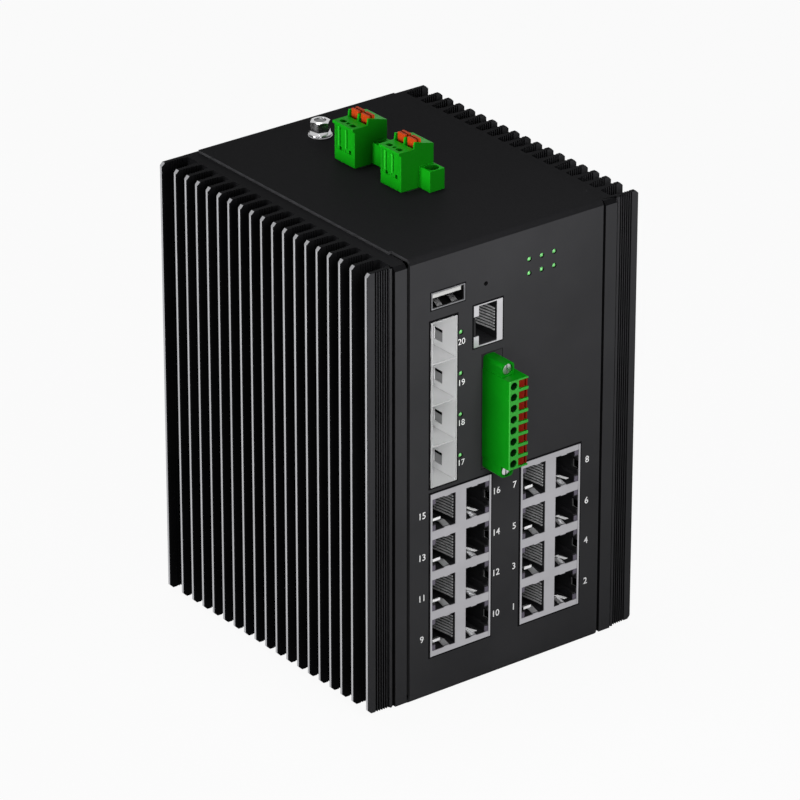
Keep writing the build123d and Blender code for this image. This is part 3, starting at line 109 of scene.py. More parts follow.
def grainMaterial(name, colour, spread, roughness, roughSpread, grain, patch, depth,
                  metallic=0.0, specular=0.5, stretch=(1, 1, 1)):
    # colour and roughness drift over patches, and a fine grain lifts the surface
    mat, shader = newMaterial(name, colour, roughness, metallic, specular)
    vector = patternSource(mat, stretch)
    patches = addNoise(mat, vector, patch, 3.0)
    fine = addNoise(mat, vector, grain, 5.0, 0.65)
    low = tuple(max(0.0, c * (1 - spread)) for c in colour) + (1,)
    high = tuple(min(1.0, c * (1 + spread)) for c in colour) + (1,)
    mat.node_tree.links.new(rampBetween(mat, patches, low, high), shader.inputs["Base Color"])
    smooth = (roughness - roughSpread,) * 3 + (1,)
    dull = (roughness + roughSpread,) * 3 + (1,)
    mat.node_tree.links.new(rampBetween(mat, fine, smooth, dull), shader.inputs["Roughness"])
    addBump(mat, shader, fine, depth)
    return mat


def shadeBeyond(mat, axis, limit, colour, side="GREATER_THAN", source="Object"):
    # painted light and shade: another colour where the piece's own coordinate, or its face's direction, lies past a
    # limit
    nodes, links = mat.node_tree.nodes, mat.node_tree.links
    target = nodes["Principled BSDF"].inputs["Base Color"]
    before = target.links[0].from_socket
    split = nodes.new("ShaderNodeSeparateXYZ")
    past = nodes.new("ShaderNodeMath")
    past.operation = side
    past.inputs[1].default_value = limit
    blend = nodes.new("ShaderNodeMixRGB")
    blend.inputs["Color2"].default_value = (*colour, 1)
    links.new(nodes.new("ShaderNodeTexCoord").outputs[source], split.inputs[0])
    links.new(split.outputs[axis], past.inputs[0])
    links.new(past.outputs[0], blend.inputs["Fac"])
    links.new(before, blend.inputs["Color1"])
    links.new(blend.outputs["Color"], target)
    return mat


# Painted shade on the upper faces and their fold: faces whose upward direction is past the tilt get a darker colour
paintedTopShade = {"tilt": 0.12, "colour": (0.0112, 0.0112, 0.012)}

finishes = {
    "coat": grainMaterial("coverCoat", (0.0355, 0.0355, 0.0375), 0.08, 0.55, 0.06, 1500, 30, 0.00004, specular=0.006),
    "rearCoat": grainMaterial("rearCoat", (0.0355, 0.0355, 0.0375), 0.08, 0.55, 0.06, 1500, 30, 0.00004,
                              specular=0.006),
    "fins": grainMaterial("finAnodising", (0.036, 0.036, 0.038), 0.05, 0.50, 0.07, 900, 40, 0.00003, specular=0.005),
    # painted shade: near-black for slots, gaps and hollows
    "paintedShade": grainMaterial("slotShade", (0.0055, 0.0055, 0.006), 0.15, 0.55, 0.07, 900, 40, 0.00003, specular=0.01),
    # painted highlight: bright metal that stands in for the lit edges of the fin tips and corners
    "finEdge": grainMaterial("finEdgeHighlight", (0.40, 0.40, 0.415), 0.06, 0.34, 0.06, 900, 40, 0.00001,
                             metallic=1.0, stretch=(1, 1, 0.04)),
    "shell": grainMaterial("socketShell", (0.415, 0.41, 0.43), 0.05, 0.34, 0.06, 700, 60, 0.00002,
                           metallic=0.9, specular=0.3),
    "consoleShell": grainMaterial("consoleShell", (0.58, 0.575, 0.595), 0.05, 0.34, 0.06, 700, 60, 0.00002,
                                  metallic=0.85, specular=0.3),
    "usbShell": grainMaterial("usbShell", (0.20, 0.20, 0.21), 0.05, 0.36, 0.06, 700, 60, 0.00002,
                              metallic=0.7, specular=0.3),
    "cage": grainMaterial("moduleCage", (0.93, 0.93, 0.935), 0.02, 0.45, 0.05, 600, 60, 0.00002, specular=0.4),
    "zinc": grainMaterial("zincPlate", (0.62, 0.62, 0.63), 0.08, 0.30, 0.08, 500, 80, 0.00002, metallic=1.0),
    "stainless": grainMaterial("boltSteel", (0.68, 0.68, 0.69), 0.06, 0.20, 0.06, 900, 90, 0.00002, metallic=1.0),
    "dish": grainMaterial("boltDish", (0.24, 0.24, 0.245), 0.15, 0.25, 0.06, 900, 300, 0.00002, metallic=1.0),
    "contact": grainMaterial("contactPlating", (0.56, 0.56, 0.57), 0.06, 0.30, 0.05, 900, 90, 0.00001, metallic=0.35),
    "tin": grainMaterial("pinTin", (0.68, 0.68, 0.66), 0.06, 0.30, 0.05, 900, 90, 0.00001, metallic=1.0),
    "wire": grainMaterial("springWire", (0.52, 0.52, 0.53), 0.06, 0.28, 0.05, 900, 90, 0.00001, metallic=1.0),
    "heat": grainMaterial("milledBlock", (0.70, 0.70, 0.71), 0.06, 0.34, 0.08, 500, 40, 0.00002,
                          metallic=1.0, stretch=(1, 0.1, 1)),
    "black": grainMaterial("socketPlastic", (0.012, 0.012, 0.013), 0.15, 0.42, 0.08, 800, 60, 0.00002, specular=0.2),
    # painted highlight: near-white for the glints on the sockets' spring tabs
    "tabHighlight": grainMaterial("springTabHighlight", (0.90, 0.90, 0.91), 0.04, 0.34, 0.05, 700, 60, 0.00002, specular=0.4),
    "tongue": grainMaterial("cageTongue", (0.36, 0.36, 0.365), 0.06, 0.36, 0.05, 700, 60, 0.00002, specular=0.3),
    "white": grainMaterial("tonguePlastic", (0.46, 0.46, 0.45), 0.03, 0.40, 0.06, 800, 60, 0.00002, specular=0.3),
    "green": grainMaterial("plugPlastic", (0.001, 0.165, 0.003), 0.06, 0.40, 0.07, 700, 90, 0.00002, specular=0.05),
    "powerGreen": grainMaterial("powerPlugPlastic", (0.004, 0.27, 0.005), 0.06, 0.40, 0.07, 700, 90, 0.00002,
                                specular=0.05),
    # painted highlight: lighter green for the lit edges of the power plugs' channels
    "greenEdgeHighlight": grainMaterial("plugEdgeHighlight", (0.02, 0.46, 0.022), 0.06, 0.40, 0.07, 700, 90, 0.00002, specular=0.05),
    # painted shade: near-black green for the insides of the wire holes
    "holeShade": grainMaterial("holeShadeCup", (0.001, 0.018, 0.002), 0.10, 0.45, 0.07, 700, 90, 0.00002, specular=0.05),
    "red": grainMaterial("signalLever", (0.15, 0.006, 0.001), 0.06, 0.38, 0.06, 800, 120, 0.00002, specular=0.06),
    "orange": grainMaterial("powerLever", (0.42, 0.042, 0.005), 0.06, 0.38, 0.06, 800, 120, 0.00002, specular=0.06),
    "lens": grainMaterial("lightPipe", (0.10, 0.088, 0.12), 0.10, 0.22, 0.04, 800, 150, 0.00001, specular=0.3),
    "laminate": grainMaterial("boardMask", (0.008, 0.030, 0.014), 0.12, 0.34, 0.06, 700, 80, 0.00002, specular=0.2),
}

for finish in ("coat", "rearCoat", "fins"):
    shadeBeyond(finishes[finish], "Z", paintedTopShade["tilt"], paintedTopShade["colour"], source="Normal")

# Painted light and shade on parts of a piece: behind or before a depth, in mm, or facing a way
paintedDepthShades = [
    ("usbShell", "GREATER_THAN", -54.2, (0.012, 0.012, 0.012)),  # painted shade inside the USB socket
    ("shell", "GREATER_THAN", -54.25, (0.90, 0.90, 0.91)),  # painted highlight: brighter spring tabs behind the port blocks' face
    ("cage", "LESS_THAN", -54.8, (0.45, 0.45, 0.455)),  # painted shade on the module cage's front rim
    ("green", "LESS_THAN", -67.6, (0.034, 0.29, 0.036)),  # painted sheen: lighter green on the signal plug's front
]
paintedFacingShades = [
    ("cage", "Z", "GREATER_THAN", 0.5, (0.56, 0.56, 0.565)),  # painted shade on the floors of the module places
    ("powerGreen", "Y", "LESS_THAN", -0.5, (0.003, 0.13, 0.003)),  # painted shade on the power plugs' sides that face the front
]
for finish, axis, side, tilt, colour in paintedFacingShades:
    shadeBeyond(finishes[finish], axis, tilt, colour, side, "Normal")
for finish, side, depth, colour in paintedDepthShades:
    shadeBeyond(finishes[finish], "Y", depth * mm, colour, side)

# Green lights shine a little by themselves
glow, glowShader = newMaterial("lampGreen", (0.14, 0.50, 0.15), 0.25)
glowVector = patternSource(glow)
glowShade = rampBetween(glow, addNoise(glow, glowVector, 900), (0.13, 0.46, 0.13, 1), (0.17, 0.58, 0.17, 1))
glow.node_tree.links.new(glowShade, glowShader.inputs["Base Color"])
glowShader.inputs["Emission Color"].default_value = (0.12, 0.75, 0.12, 1)
glowShader.inputs["Emission Strength"].default_value = 0.08
finishes["glow"] = glow

# White ink of the port numbers
ink, inkShader = newMaterial("numberInk", (0.75, 0.75, 0.75), 0.55)
inkShade = rampBetween(ink, addNoise(ink, patternSource(ink), 1800), (0.78, 0.78, 0.78, 1), (0.92, 0.92, 0.92, 1))
ink.node_tree.links.new(inkShade, inkShader.inputs["Base Color"])
finishes["ink"] = ink

nodeFinish = {
    "coat": ["cover_sheet"],
    "rearCoat": ["rear_panel"],
    "fins": ["heatsink_left", "heatsink_right"],
    "shell": ["jack_shell_left", "jack_shell_right"],
    "consoleShell": ["console_shell"],
    "usbShell": ["usb_shell"],
    "cage": ["sfp_cage", "sfp_fingers"],
    "zinc": ["case_screws", "board_screws", "board_spacers", "power_hangers", "signal_screws", "din_latch"],
    "stainless": ["ground_screw", "ground_washer"],
    "contact": ["jack_contacts_left", "jack_contacts_right", "console_contacts"],
    "tin": ["signal_pins", "power_pins"],
    "wire": ["din_spring"],
    "heat": ["heat_blocks"],
    "black": ["jack_body_left", "jack_body_right", "console_body", "sfp_sockets", "reset_switch", "reset_button",
              "signal_header", "power_headers", "din_clip", "switch_chips", "power_parts"],
    "white": ["usb_tongue"],
    "green": ["signal_plug"],
    "powerGreen": ["power_plug_1", "power_plug_2"],
    "red": [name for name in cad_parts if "signal_lever_" in name],
    "orange": [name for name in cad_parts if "power_lever_" in name],
    "lens": ["jack_lights"],
    "glow": ["status_lights", "link_lights"],
    "laminate": ["port_board_left", "port_board_right", "io_board", "power_board"],
}
for finish, names in nodeFinish.items():
    for name in names:
        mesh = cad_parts[name].data
        mesh.materials.clear()
        mesh.materials.append(finishes[finish])
print("materials set on", sum(len(n) for n in nodeFinish.values()), "nodes")


# Finned side plates

finnedSide = {
    "inner": 38.3, "root": 43.5, "tip": 53.35,  # across the case, from its middle
    "front": -53.12, "pitch": 5.764, "endGap": 7.66, "count": 19,
    "tipThick": 1.35, "rootThick": 2.3, "footRadius": 0.6, "tipRound": 0.38,
    "ribs": 6, "ribDepth": 0.32, "frontRibDepth": 0.5, "ribStart": 45.3, "ribEnd": 50.65,
    "low": 1.0, "high": 152.5, "corner": 1.15, "stripBevel": 1.3,
}


def meshPiece(name, points, faces, finish, body, smoothAngle=None):
    mesh = bpy.data.meshes.new(name)
    mesh.from_pydata((np.asarray(points, float) * mm).tolist(), [], faces)
    mesh.materials.append(finishes[finish])
    mesh.update()
    if smoothAngle is not None:
        mesh.set_sharp_from_angle(angle=np.radians(smoothAngle))
        mesh.shade_smooth()
        mesh.set_sharp_from_angle(angle=np.radians(smoothAngle))
    piece = bpy.data.objects.new(name, mesh)
    bpy.context.scene.collection.objects.link(piece)
    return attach(piece, body)


def finSideCurve(d):
    # half a fin: x runs from the foot to the tip; the half thickness tapers straight and closes on a quarter
    # circle at the tip; the cut is 1 in the flat bottom of each groove, 0 on the lands, and slopes between them
    foot = d["root"] + d["footRadius"]
    taper = (d["rootThick"] - d["tipThick"]) / 2 / (d["tip"] - d["root"])
    period = (d["ribEnd"] - d["ribStart"]) / d["ribs"]
    steps = np.array([0.0, 0.14, 0.26, 0.74, 0.86])
    ribX = (d["ribStart"] + period * (np.arange(d["ribs"])[:, None] + steps)).ravel()
    turn = np.linspace(0, np.pi / 2, 7)
    tipX = d["tip"] - d["tipRound"] + d["tipRound"] * np.sin(turn)
    x = np.concatenate([[foot], ribX, [d["ribEnd"], d["tip"] - d["corner"]], tipX])
    halfThick = d["tipThick"] / 2 + taper * (d["tip"] - x)
    halfThick[-7:] = d["tipThick"] / 2 + taper * d["tipRound"] - d["tipRound"] * (1 - np.cos(turn))
    cut = np.concatenate([[0.0], np.tile([0.0, 0.0, 1.0, 1.0, 0.0], d["ribs"]), np.zeros(9)])
    return x, halfThick, cut


def makeFinnedSide(d, side):
    x, halfThick, cut = finSideCurve(d)
    middles = d["front"] + d["tipThick"] / 2 + d["endGap"] + np.arange(d["count"] - 2) * d["pitch"]
    lastMiddle = middles[-1] + d["endGap"]
    middles = np.concatenate([[d["front"] + d["tipThick"] / 2], middles, [lastMiddle]])
    backFace = lastMiddle + d["tipThick"] / 2
    face = panelFace
    # flat strip, groove and lip beside the front panel
    strip = np.array([
        (32.3, 53.3), (32.3, 47.3), (d["inner"], 47.3), (d["inner"], face + 3.0), (39.1, face + 3.0),
        (39.1, face + 1.4),
        (39.1, face + 0.1), (43.6, face + 0.1), (43.6, face + 1.4), (43.6, face + 1.8), (44.4, face + 1.8),
        (44.4, face + 0.75), (44.6, face + 0.55), (45.1, face + 0.55), (45.3, face + 0.75),
    ])
    loop, drop = [strip], [np.where(np.abs(strip[:, 1] - (face + 0.1)) < 0.01, d["stripBevel"], 0.0)]
    ladders, planar, count = [], list(range(len(strip))), len(strip)
    finDrop = np.clip(x - (d["tip"] - d["corner"]), 0, None)
    for n, middle in enumerate(middles):
        isFirst, isLast = n == 0, n == len(middles) - 1
        near = np.stack([x, middle - halfThick + d["ribDepth"] * cut], 1)
        far = np.stack([x, middle + halfThick - d["ribDepth"] * cut], 1)
        nearDrop = farDrop = finDrop
        if isFirst:  # its front face starts beyond the lip
            near[:, 1] = np.maximum(middle - halfThick, face + 1.05) + d["frontRibDepth"] * cut
        if isLast:  # its back face is the plain rear wall
            far[:, 1] = backFace
            far[-7:, 1] = backFace - halfThick[-7] + halfThick[-7:]
        first = count
        loop += [near, far[::-1]]
        drop += [nearDrop, farDrop[::-1]]
        size = len(x)
        ladders.append(np.stack([first + np.arange(size), first + 2 * size - 1 - np.arange(size)], 1))
        planar += [first, first + 2 * size - 1]
        count += 2 * size
        if not isLast:  # flat slot bottom on the root line, with a quarter circle in each corner
            nextFoot = middles[n + 1] - halfThick[0]
            thisFoot = middle + halfThick[0]
            turn = np.linspace(0, np.pi / 2, 6)[1:]
            rise = d["root"] + d["footRadius"] * (1 - np.sin(turn))
            reach = d["footRadius"] * (1 - np.cos(turn))
            bottom = np.stack([
                np.concatenate([rise, rise[::-1]]),
                np.concatenate([thisFoot + reach, nextFoot - reach[::-1]]),
            ], 1)
            loop.append(bottom)
            drop.append(np.zeros(len(bottom)))
            planar += list(range(count, count + len(bottom)))
            count += len(bottom)
    closing = np.array([(d["inner"], backFace), (d["inner"], 54.6), (d["inner"], 53.3)])
    loop.append(closing)
    drop.append(np.zeros(3))
    planar += list(range(count, count + 3))
    loop, drop = np.concatenate(loop), np.concatenate(drop)
    total = len(loop)
    lowDrop = np.where(np.arange(total) < len(strip), 0.0, drop)
    lowRing = np.column_stack([loop[:, 0] * side, loop[:, 1], d["low"] + lowDrop])
    highRing = np.column_stack([loop[:, 0] * side, loop[:, 1], d["high"] - drop])
    here = np.arange(total)
    following = np.roll(here, -1)
    walls = np.column_stack([here, here + total, following + total, following])
    # the ends: a ladder over each fin, the bevelled strip end, and one flat face for the rest
    rungs = np.concatenate([np.column_stack([l[:-1, 0], l[1:, 0], l[1:, 1], l[:-1, 1]]) for l in ladders])
    flat = [i for i in planar if i not in (6, 7)]
    stripEnd = [5, 6, 7, 8]
    lowCaps = rungs.tolist() + [stripEnd, flat]
    highCaps = [[i + total for i in reversed(f)] for f in lowCaps]
    faces = walls.tolist() + lowCaps + highCaps
    name = "finnedSideRight" if side > 0 else "finnedSideLeft"
    piece = meshPiece(name, np.concatenate([lowRing, highRing]), faces, "fins", "case", 32)
    cleanNormals(piece)
    # the fins' outer edges and slanted corners get a bright metal finish, a painted highlight for their lit edges, and
    # slots, grooves and gaps get near-black painted shade
    mesh = piece.data
    mesh.materials.append(finishes["finEdge"])
    mesh.materials.append(finishes["paintedShade"])
    normals = np.abs(np.array([p.normal for p in mesh.polygons]))
    centres = np.array([p.center for p in mesh.polygons]) / mm
    out, depth = np.abs(centres[:, 0]), centres[:, 1] - face
    edgeHighlight = (normals[:, 0] > 0.65) & (normals[:, 1] < 0.3) & (out > d["tip"] - d["corner"])
    upright = normals[:, 2] < 0.3
    phase = (out - d["ribStart"]) * d["ribs"] / (d["ribEnd"] - d["ribStart"])
    grooves = (phase > 0) & (phase < d["ribs"]) & (np.abs(phase % 1 - 0.5) < 0.37)
    deep = (depth > 1.45) & ((out < d["ribStart"]) | (side < 0))
    slots = upright & (out > d["root"] - 0.1) & (centres[:, 1] < backFace - 0.4) & (grooves | deep)
    gaps = upright & ((out < 39.15) & (depth < 3.2) | (out > 43.55) & (out < 44.45) & (depth > 0.6) & (depth < 2))
    stripTop = (normals[:, 2] > 0.2) & (normals[:, 2] < 0.95) & (out < 43.7) & (depth < 1.5)
    # painted shade: slots, grooves, gaps and the strip's upper end are made near-black
    black = (slots | gaps | stripTop) & ~edgeHighlight
    mesh.polygons.foreach_set("material_index", edgeHighlight.astype(int) + 2 * black.astype(int))
    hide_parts("heatsink_right" if side > 0 else "heatsink_left")
    return piece


def cleanNormals(piece):
    # turns every face of a closed piece outwards
    work = bmesh.new()
    work.from_mesh(piece.data)
    bmesh.ops.recalc_face_normals(work, faces=work.faces)
    work.to_mesh(piece.data)
    work.free()


for side in (-1, 1):
    makeFinnedSide(finnedSide, side)
print("side plates made")


# Earth screw on top

earthScrew = {
    "x": -1.2, "y": 40.5, "seat": 154.4,  # the washer's top
    "across": 5.9, "headHigh": 3.5, "flangeRadius": 3.7, "flangeHigh": 1.0, "turn": 12,
    "sides": 96, "washerRadius": 3.95, "washerHigh": 0.9, "dishRadius": 2.0, "dishDeep": 0.6,
    "boreRadius": 2.05, "flatHigh": 0.46, "flatEdge": 0.1,
    "splitHalf": 0.85, "splitHigh": 0.42, "splitRadius": 3.0, "splitGap": 0.06, "splitLift": 0.68,
    "splitSteps": 72, "splitSides": 16,
}


def gridFaces(rings, sides):
    # quads between neighbouring rings, closed round the loop
    ring = np.arange(rings - 1)[:, None] * sides
    here = np.arange(sides)[None, :]
    following = (here + 1) % sides
    quads = np.stack([ring + here, ring + following, ring + sides + following, ring + sides + here], -1)
    return quads.reshape(-1, 4).tolist()


def closedFaces(rings, sides):
    # quads closed both ways, as on a ring with a section of its own
    ring, side = np.arange(rings)[:, None], np.arange(sides)[None, :]
    following, beyond = (side + 1) % sides, (ring + 1) % rings
    quads = np.stack([ring * sides + side, ring * sides + following,
                      beyond * sides + following, beyond * sides + side], -1)
    return quads.reshape(-1, 4).tolist()


def makeEarthScrew(d):
    # a stack of rings: the radius at a given height is the smallest of the hexagon, its crown cone
    # and, lower down, the flange's rounded cone
    angle = np.linspace(0, 2 * np.pi, d["sides"], endpoint=False)
    apothem = d["across"] / 2
    folded = (angle - np.radians(d["turn"]) + np.pi / 6) % (np.pi / 3) - np.pi / 6
    hexagon = apothem / np.cos(folded)
    top = d["seat"] + d["flangeHigh"] + d["headHigh"]
    heights, radii = [], []
    for t in (0.0, 0.12, 0.3):  # flange rim
        heights.append(d["seat"] + t)
        radii.append(np.full_like(angle, d["flangeRadius"] - 0.12 * (t == 0.0) - 0.1 * (t == 0.3)))
    heights.append(d["seat"] + d["flangeHigh"])
    radii.append(hexagon + 0.12)
    heights.append(d["seat"] + d["flangeHigh"] + 0.12)
    radii.append(hexagon)
    for t in np.linspace(0.55, 0.0, 8):  # crown: a 30 degree cone meets the hexagon in curved edges
        heights.append(top - t)
        radii.append(np.minimum(hexagon, apothem - 0.25 + t * 1.7))
    for r, deep in ((1.18, 0), (1, 0), (0.94, 0.6), (0.55, 1), (0.2, 1)):  # dish in the head
        heights.append(top - 0.02 - deep * d["dishDeep"])
        radii.append(np.full_like(angle, r * d["dishRadius"]))
    rings = np.stack([
        np.column_stack([d["x"] + r * np.cos(angle), d["y"] + r * np.sin(angle), np.full_like(angle, h)])
        for h, r in zip(heights, radii)
    ])
    count = len(heights)
    points = np.concatenate([rings.reshape(-1, 3), [[d["x"], d["y"], heights[-1]], [d["x"], d["y"], heights[0]]]])
    faces = gridFaces(count, d["sides"])
    last = (count - 1) * d["sides"]
    here = np.arange(d["sides"])
    following = (here + 1) % d["sides"]
    faces += np.column_stack([last + here, last + following, np.full_like(here, len(points) - 2)]).tolist()
    faces += np.column_stack([following, here, np.full_like(here, len(points) - 1)]).tolist()
    piece = meshPiece("earthScrew", points, faces, "stainless", "case", 28)
    cleanNormals(piece)
    piece.data.materials.append(finishes["dish"])
    centres = np.array([p.center for p in piece.data.polygons]) / mm - (d["x"], d["y"], top)
    inDish = (np.hypot(centres[:, 0], centres[:, 1]) < 0.98 * d["dishRadius"]) & (centres[:, 2] > -1)
    piece.data.polygons.foreach_set("material_index", inDish.astype(int))
    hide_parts("ground_screw")
    return piece


def makeSpringWasher(d):
    # the split washer is a rounded rectangle carried round a circle, with a gap, and the flat one is a
    # profile carried all the way round
    steps, sides = d["splitSteps"], d["splitSides"]
    turn = np.linspace(d["splitGap"], 2 * np.pi - d["splitGap"], steps)
    corner = np.linspace(0, 2 * np.pi, sides, endpoint=False)
    across = d["splitHalf"] * np.sign(np.cos(corner)) * np.abs(np.cos(corner)) ** 0.5
    level = d["splitHigh"] / 2 * np.sign(np.sin(corner)) * np.abs(np.sin(corner)) ** 0.5
    base = d["seat"] - d["washerHigh"] + d["splitLift"]
    radius = d["splitRadius"] + across[None, :]
    points = np.stack([
        d["x"] + radius * np.cos(turn)[:, None],
        d["y"] + radius * np.sin(turn)[:, None],
        base + level[None, :] + 0 * turn[:, None],
    ], -1).reshape(-1, 3)
    ends = [list(range(sides))[::-1], list(range((steps - 1) * sides, steps * sides))]
    faces = gridFaces(steps, sides) + ends
    split = meshPiece("splitWasher", points, faces, "stainless", "case", 40)
    cleanNormals(split)
    ring = np.linspace(0, 2 * np.pi, d["sides"], endpoint=False)
    bore, rim, high, edge = d["boreRadius"], d["washerRadius"], d["flatHigh"], d["flatEdge"]
    profile = np.array([(bore, 0), (rim - edge, 0), (rim, edge), (rim, high - edge), (rim - edge, high),
                        (bore, high)])
    points = np.stack([
        d["x"] + profile[:, 0, None] * np.cos(ring),
        d["y"] + profile[:, 0, None] * np.sin(ring),
        d["seat"] - d["washerHigh"] + profile[:, 1, None] + 0 * ring,
    ], -1).reshape(-1, 3)
    flat = meshPiece("flatWasher", points, closedFaces(len(profile), d["sides"]), "stainless", "case", 28)
    cleanNormals(flat)
    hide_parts("ground_washer")


makeEarthScrew(earthScrew)
makeSpringWasher(earthScrew)
print("earth screw made")


# Light domes and port numbers on the front panel

lamps = {
    "radius": 0.72, "proud": 0.05, "sunk": 0.5, "sides": 20, "rings": 6, "innerRing": 0.12,
    "status": [(8.65 + 4.95 * n, z) for z in (141.35, 136.55) for n in range(3)],
    "link": [(-18.05, 102.9 + 14.1 * (n - 1.5)) for n in range(4)],
}


def makeDomes(name, places, d):
    # a shallow dome: the depth falls with the square of the distance from its middle
    sides, count = d["sides"], d["rings"]
    turn = np.linspace(0, 2 * np.pi, sides, endpoint=False)
    reach = np.linspace(1, d["innerRing"], count) * d["radius"]
    last, tip = (count - 1) * sides, count * sides
    depth = panelFace - d["proud"] + (d["sunk"] + d["proud"]) * (reach / d["radius"]) ** 2
    points, faces = [], []
    for n, (x, z) in enumerate(places):
        base = n * (tip + 1)
        rings = np.stack([x + reach[:, None] * np.cos(turn), depth[:, None] + 0 * turn,
                          z + reach[:, None] * np.sin(turn)], -1).reshape(-1, 3)
        points += [rings, [[x, panelFace - d["proud"], z]]]
        faces += [[base + i for i in f] for f in gridFaces(count, sides)]
        faces += [[base + last + i, base + last + (i + 1) % sides, base + tip] for i in range(sides)]
        faces.append([base + i for i in range(sides - 1, -1, -1)])
    piece = meshPiece(name, np.concatenate(points), faces, "glow", "case", 60)
    cleanNormals(piece)
    return piece


makeDomes("statusDomes", lamps["status"], lamps)
makeDomes("linkDomes", lamps["link"], lamps)

# Trim in and round the sockets and plugs

def nodeBox(name):
    flat = np.empty(len(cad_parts[name].data.vertices) * 3)
    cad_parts[name].data.vertices.foreach_get("co", flat)
    points = flat.reshape(-1, 3) / mm
    return points.min(0), points.max(0)


def makeStrips(name, paths, across, width, thick, finish):
    # a flat strip for each path: a rectangle carried along it, its width along the given axis and its
    # thickness along the path's own normal, which is the tangent crossed with that axis
    points, faces, axis = [], [], np.eye(3)["XYZ".index(across)]
    for path in paths:
        path = np.asarray(path, float)
        normal = np.cross(np.gradient(path, axis=0), axis)
        normal /= np.linalg.norm(normal, axis=1)[:, None]
        corners = np.array([(-1, -1), (1, -1), (1, 1), (-1, 1)]) / 2
        section = corners[None, :, 0, None] * width * axis + corners[None, :, 1, None] * thick * normal[:, None, :]
        base, size = 4 * sum(len(p) // 4 for p in points), len(path)
        points.append((path[:, None, :] + section).reshape(-1, 3))
        strip = gridFaces(size, 4) + [[3, 2, 1, 0], [4 * size - 4, 4 * size - 3, 4 * size - 2, 4 * size - 1]]
        faces += [[base + i for i in face] for face in strip]
    piece = meshPiece(name, np.concatenate(points), faces, finish, "case", 40)
    cleanNormals(piece)
    return piece


def makeGapLine(name, low, high, line, front, behind):
    # a thin frame of painted shade for the shadow gap round a cut-out: a rectangular section carried round its four
    # corners
    turn = np.array([(-1, -1), (1, -1), (1, 1), (-1, 1)])
    section = np.array([(0, front), (line, front), (line, behind), (0, behind)])
    middle, half = (low + high) / 2, (high - low) / 2
    points = np.stack([
        middle[0] + turn[:, 0] * (half[0] + section[:, :1]),
        section[:, 1:] + 0 * turn[:, 0],
        middle[2] + turn[:, 1] * (half[2] + section[:, :1]),
    ], -1).reshape(-1, 3)
    piece = meshPiece(name, points, closedFaces(4, 4), "paintedShade", "case")
    cleanNormals(piece)
    return piece


# dark frames of painted shade round the sockets' and the cage's cut-outs
gapLines = {
    "jack_shell_left": (0.6, 0.03), "jack_shell_right": (0.6, 0.03), "console_shell": (0.5, 0.03),
    "usb_shell": (0.4, 0.03), "sfp_cage": (0.55, 0.03),  # width, and how far proud of the panel
}
for name, (line, proud) in gapLines.items():
    low, high = nodeBox(name)
    makeGapLine(name.split("_")[0] + name.split("_")[-1].title() + "Gap", low, high, line, panelFace - proud, -54.1)

shellRims = {"width": 0.7, "thick": 0.08}


def makeShellRims(d):
    # straight strips that close the outer borders of the port blocks in front of the latch notches
    paths = []
    for low, high in (nodeBox("jack_shell_left"), nodeBox("jack_shell_right")):
        for x in (low[0] + d["width"] / 2, high[0] - d["width"] / 2):
            paths.append([(x, low[1] - d["thick"] / 2, low[2]), (x, low[1] - d["thick"] / 2, high[2])])
    return makeStrips("shellRims", paths, "X", d["width"], d["thick"], "shell")


makeShellRims(shellRims)

portTabs = {
    "blocks": (-33.2, 3.6), "rows": 4,
    "left": {"x": 6.4, "y": -53.6, "z": -2.5, "long": 3.0, "high": 0.9},
    "right": {"x": 20.4, "lean": 1.2, "front": -54.2, "back": -50.6, "z": -4.0, "wide": 1.3},
    "thick": 0.12,
}


def makePortTabs(d):
    # near-white strips for the spring tabs in the sockets, a painted highlight for their glints: straight strips,
    # across the left column and inwards in the right one
    left, right = d["left"], d["right"]
    low, high = nodeBox("jack_shell_left")
    rows = low[2] + (high[2] - low[2]) * (np.arange(d["rows"]) + 0.5) / d["rows"]
    places = [(x, z) for x in d["blocks"] for z in rows]
    across = [[(x + left["x"] + end * left["long"] / 2, left["y"], z + left["z"]) for end in (-1, 1)]
              for x, z in places]
    inwards = [[(x + right["x"], right["back"], z + right["z"]),
                (x + right["x"] + right["lean"], right["front"], z + right["z"])] for x, z in places]
    makeStrips("leftTabs", across, "Z", left["high"], d["thick"], "tabHighlight")
    makeStrips("rightTabs", inwards, "X", right["wide"], d["thick"], "tabHighlight")


makePortTabs(portTabs)

lapGaps = {"x": 38.55, "front": -45.5, "back": 53.5, "level": 152.54, "width": 0.45, "thick": 0.06}


def makeLapGaps(d):
    # painted shadow in the gap beside the cover's upper edges: dark straight strips from front to back
    paths = [[(x, d["front"], d["level"]), (x, d["back"], d["level"])] for x in (-d["x"], d["x"])]
    return makeStrips("lapGaps", paths, "X", d["width"], d["thick"], "paintedShade")


makeLapGaps(lapGaps)

usbSprings = {"x": -23.25, "spread": 2.9, "floor": 135.15, "rise": 1.3, "front": -54.0, "back": -47.5, "width": 2.1}


def makeUsbSprings(d):
    # leaf springs on the socket's floor: the height follows half a sine wave from front to back
    t = np.linspace(0, 1, 15)
    y, z = d["front"] + t * (d["back"] - d["front"]), d["floor"] + d["rise"] * np.sin(np.pi * t)
    paths = [np.column_stack([np.full_like(t, d["x"] + side * d["spread"]), y, z]) for side in (-1, 1)]
    return makeStrips("usbSprings", paths, "X", d["width"], 0.15, "wire")


makeUsbSprings(usbSprings)

cageLatches = {"x": -19.72, "y": -45.8, "width": 4.5, "low": -5.0, "high": -1.9, "backX": -19.35, "backHigh": -0.2,
               "middle": 102.2, "pitch": 14.1, "count": 4, "wallWider": 0.6, "thick": 0.15}


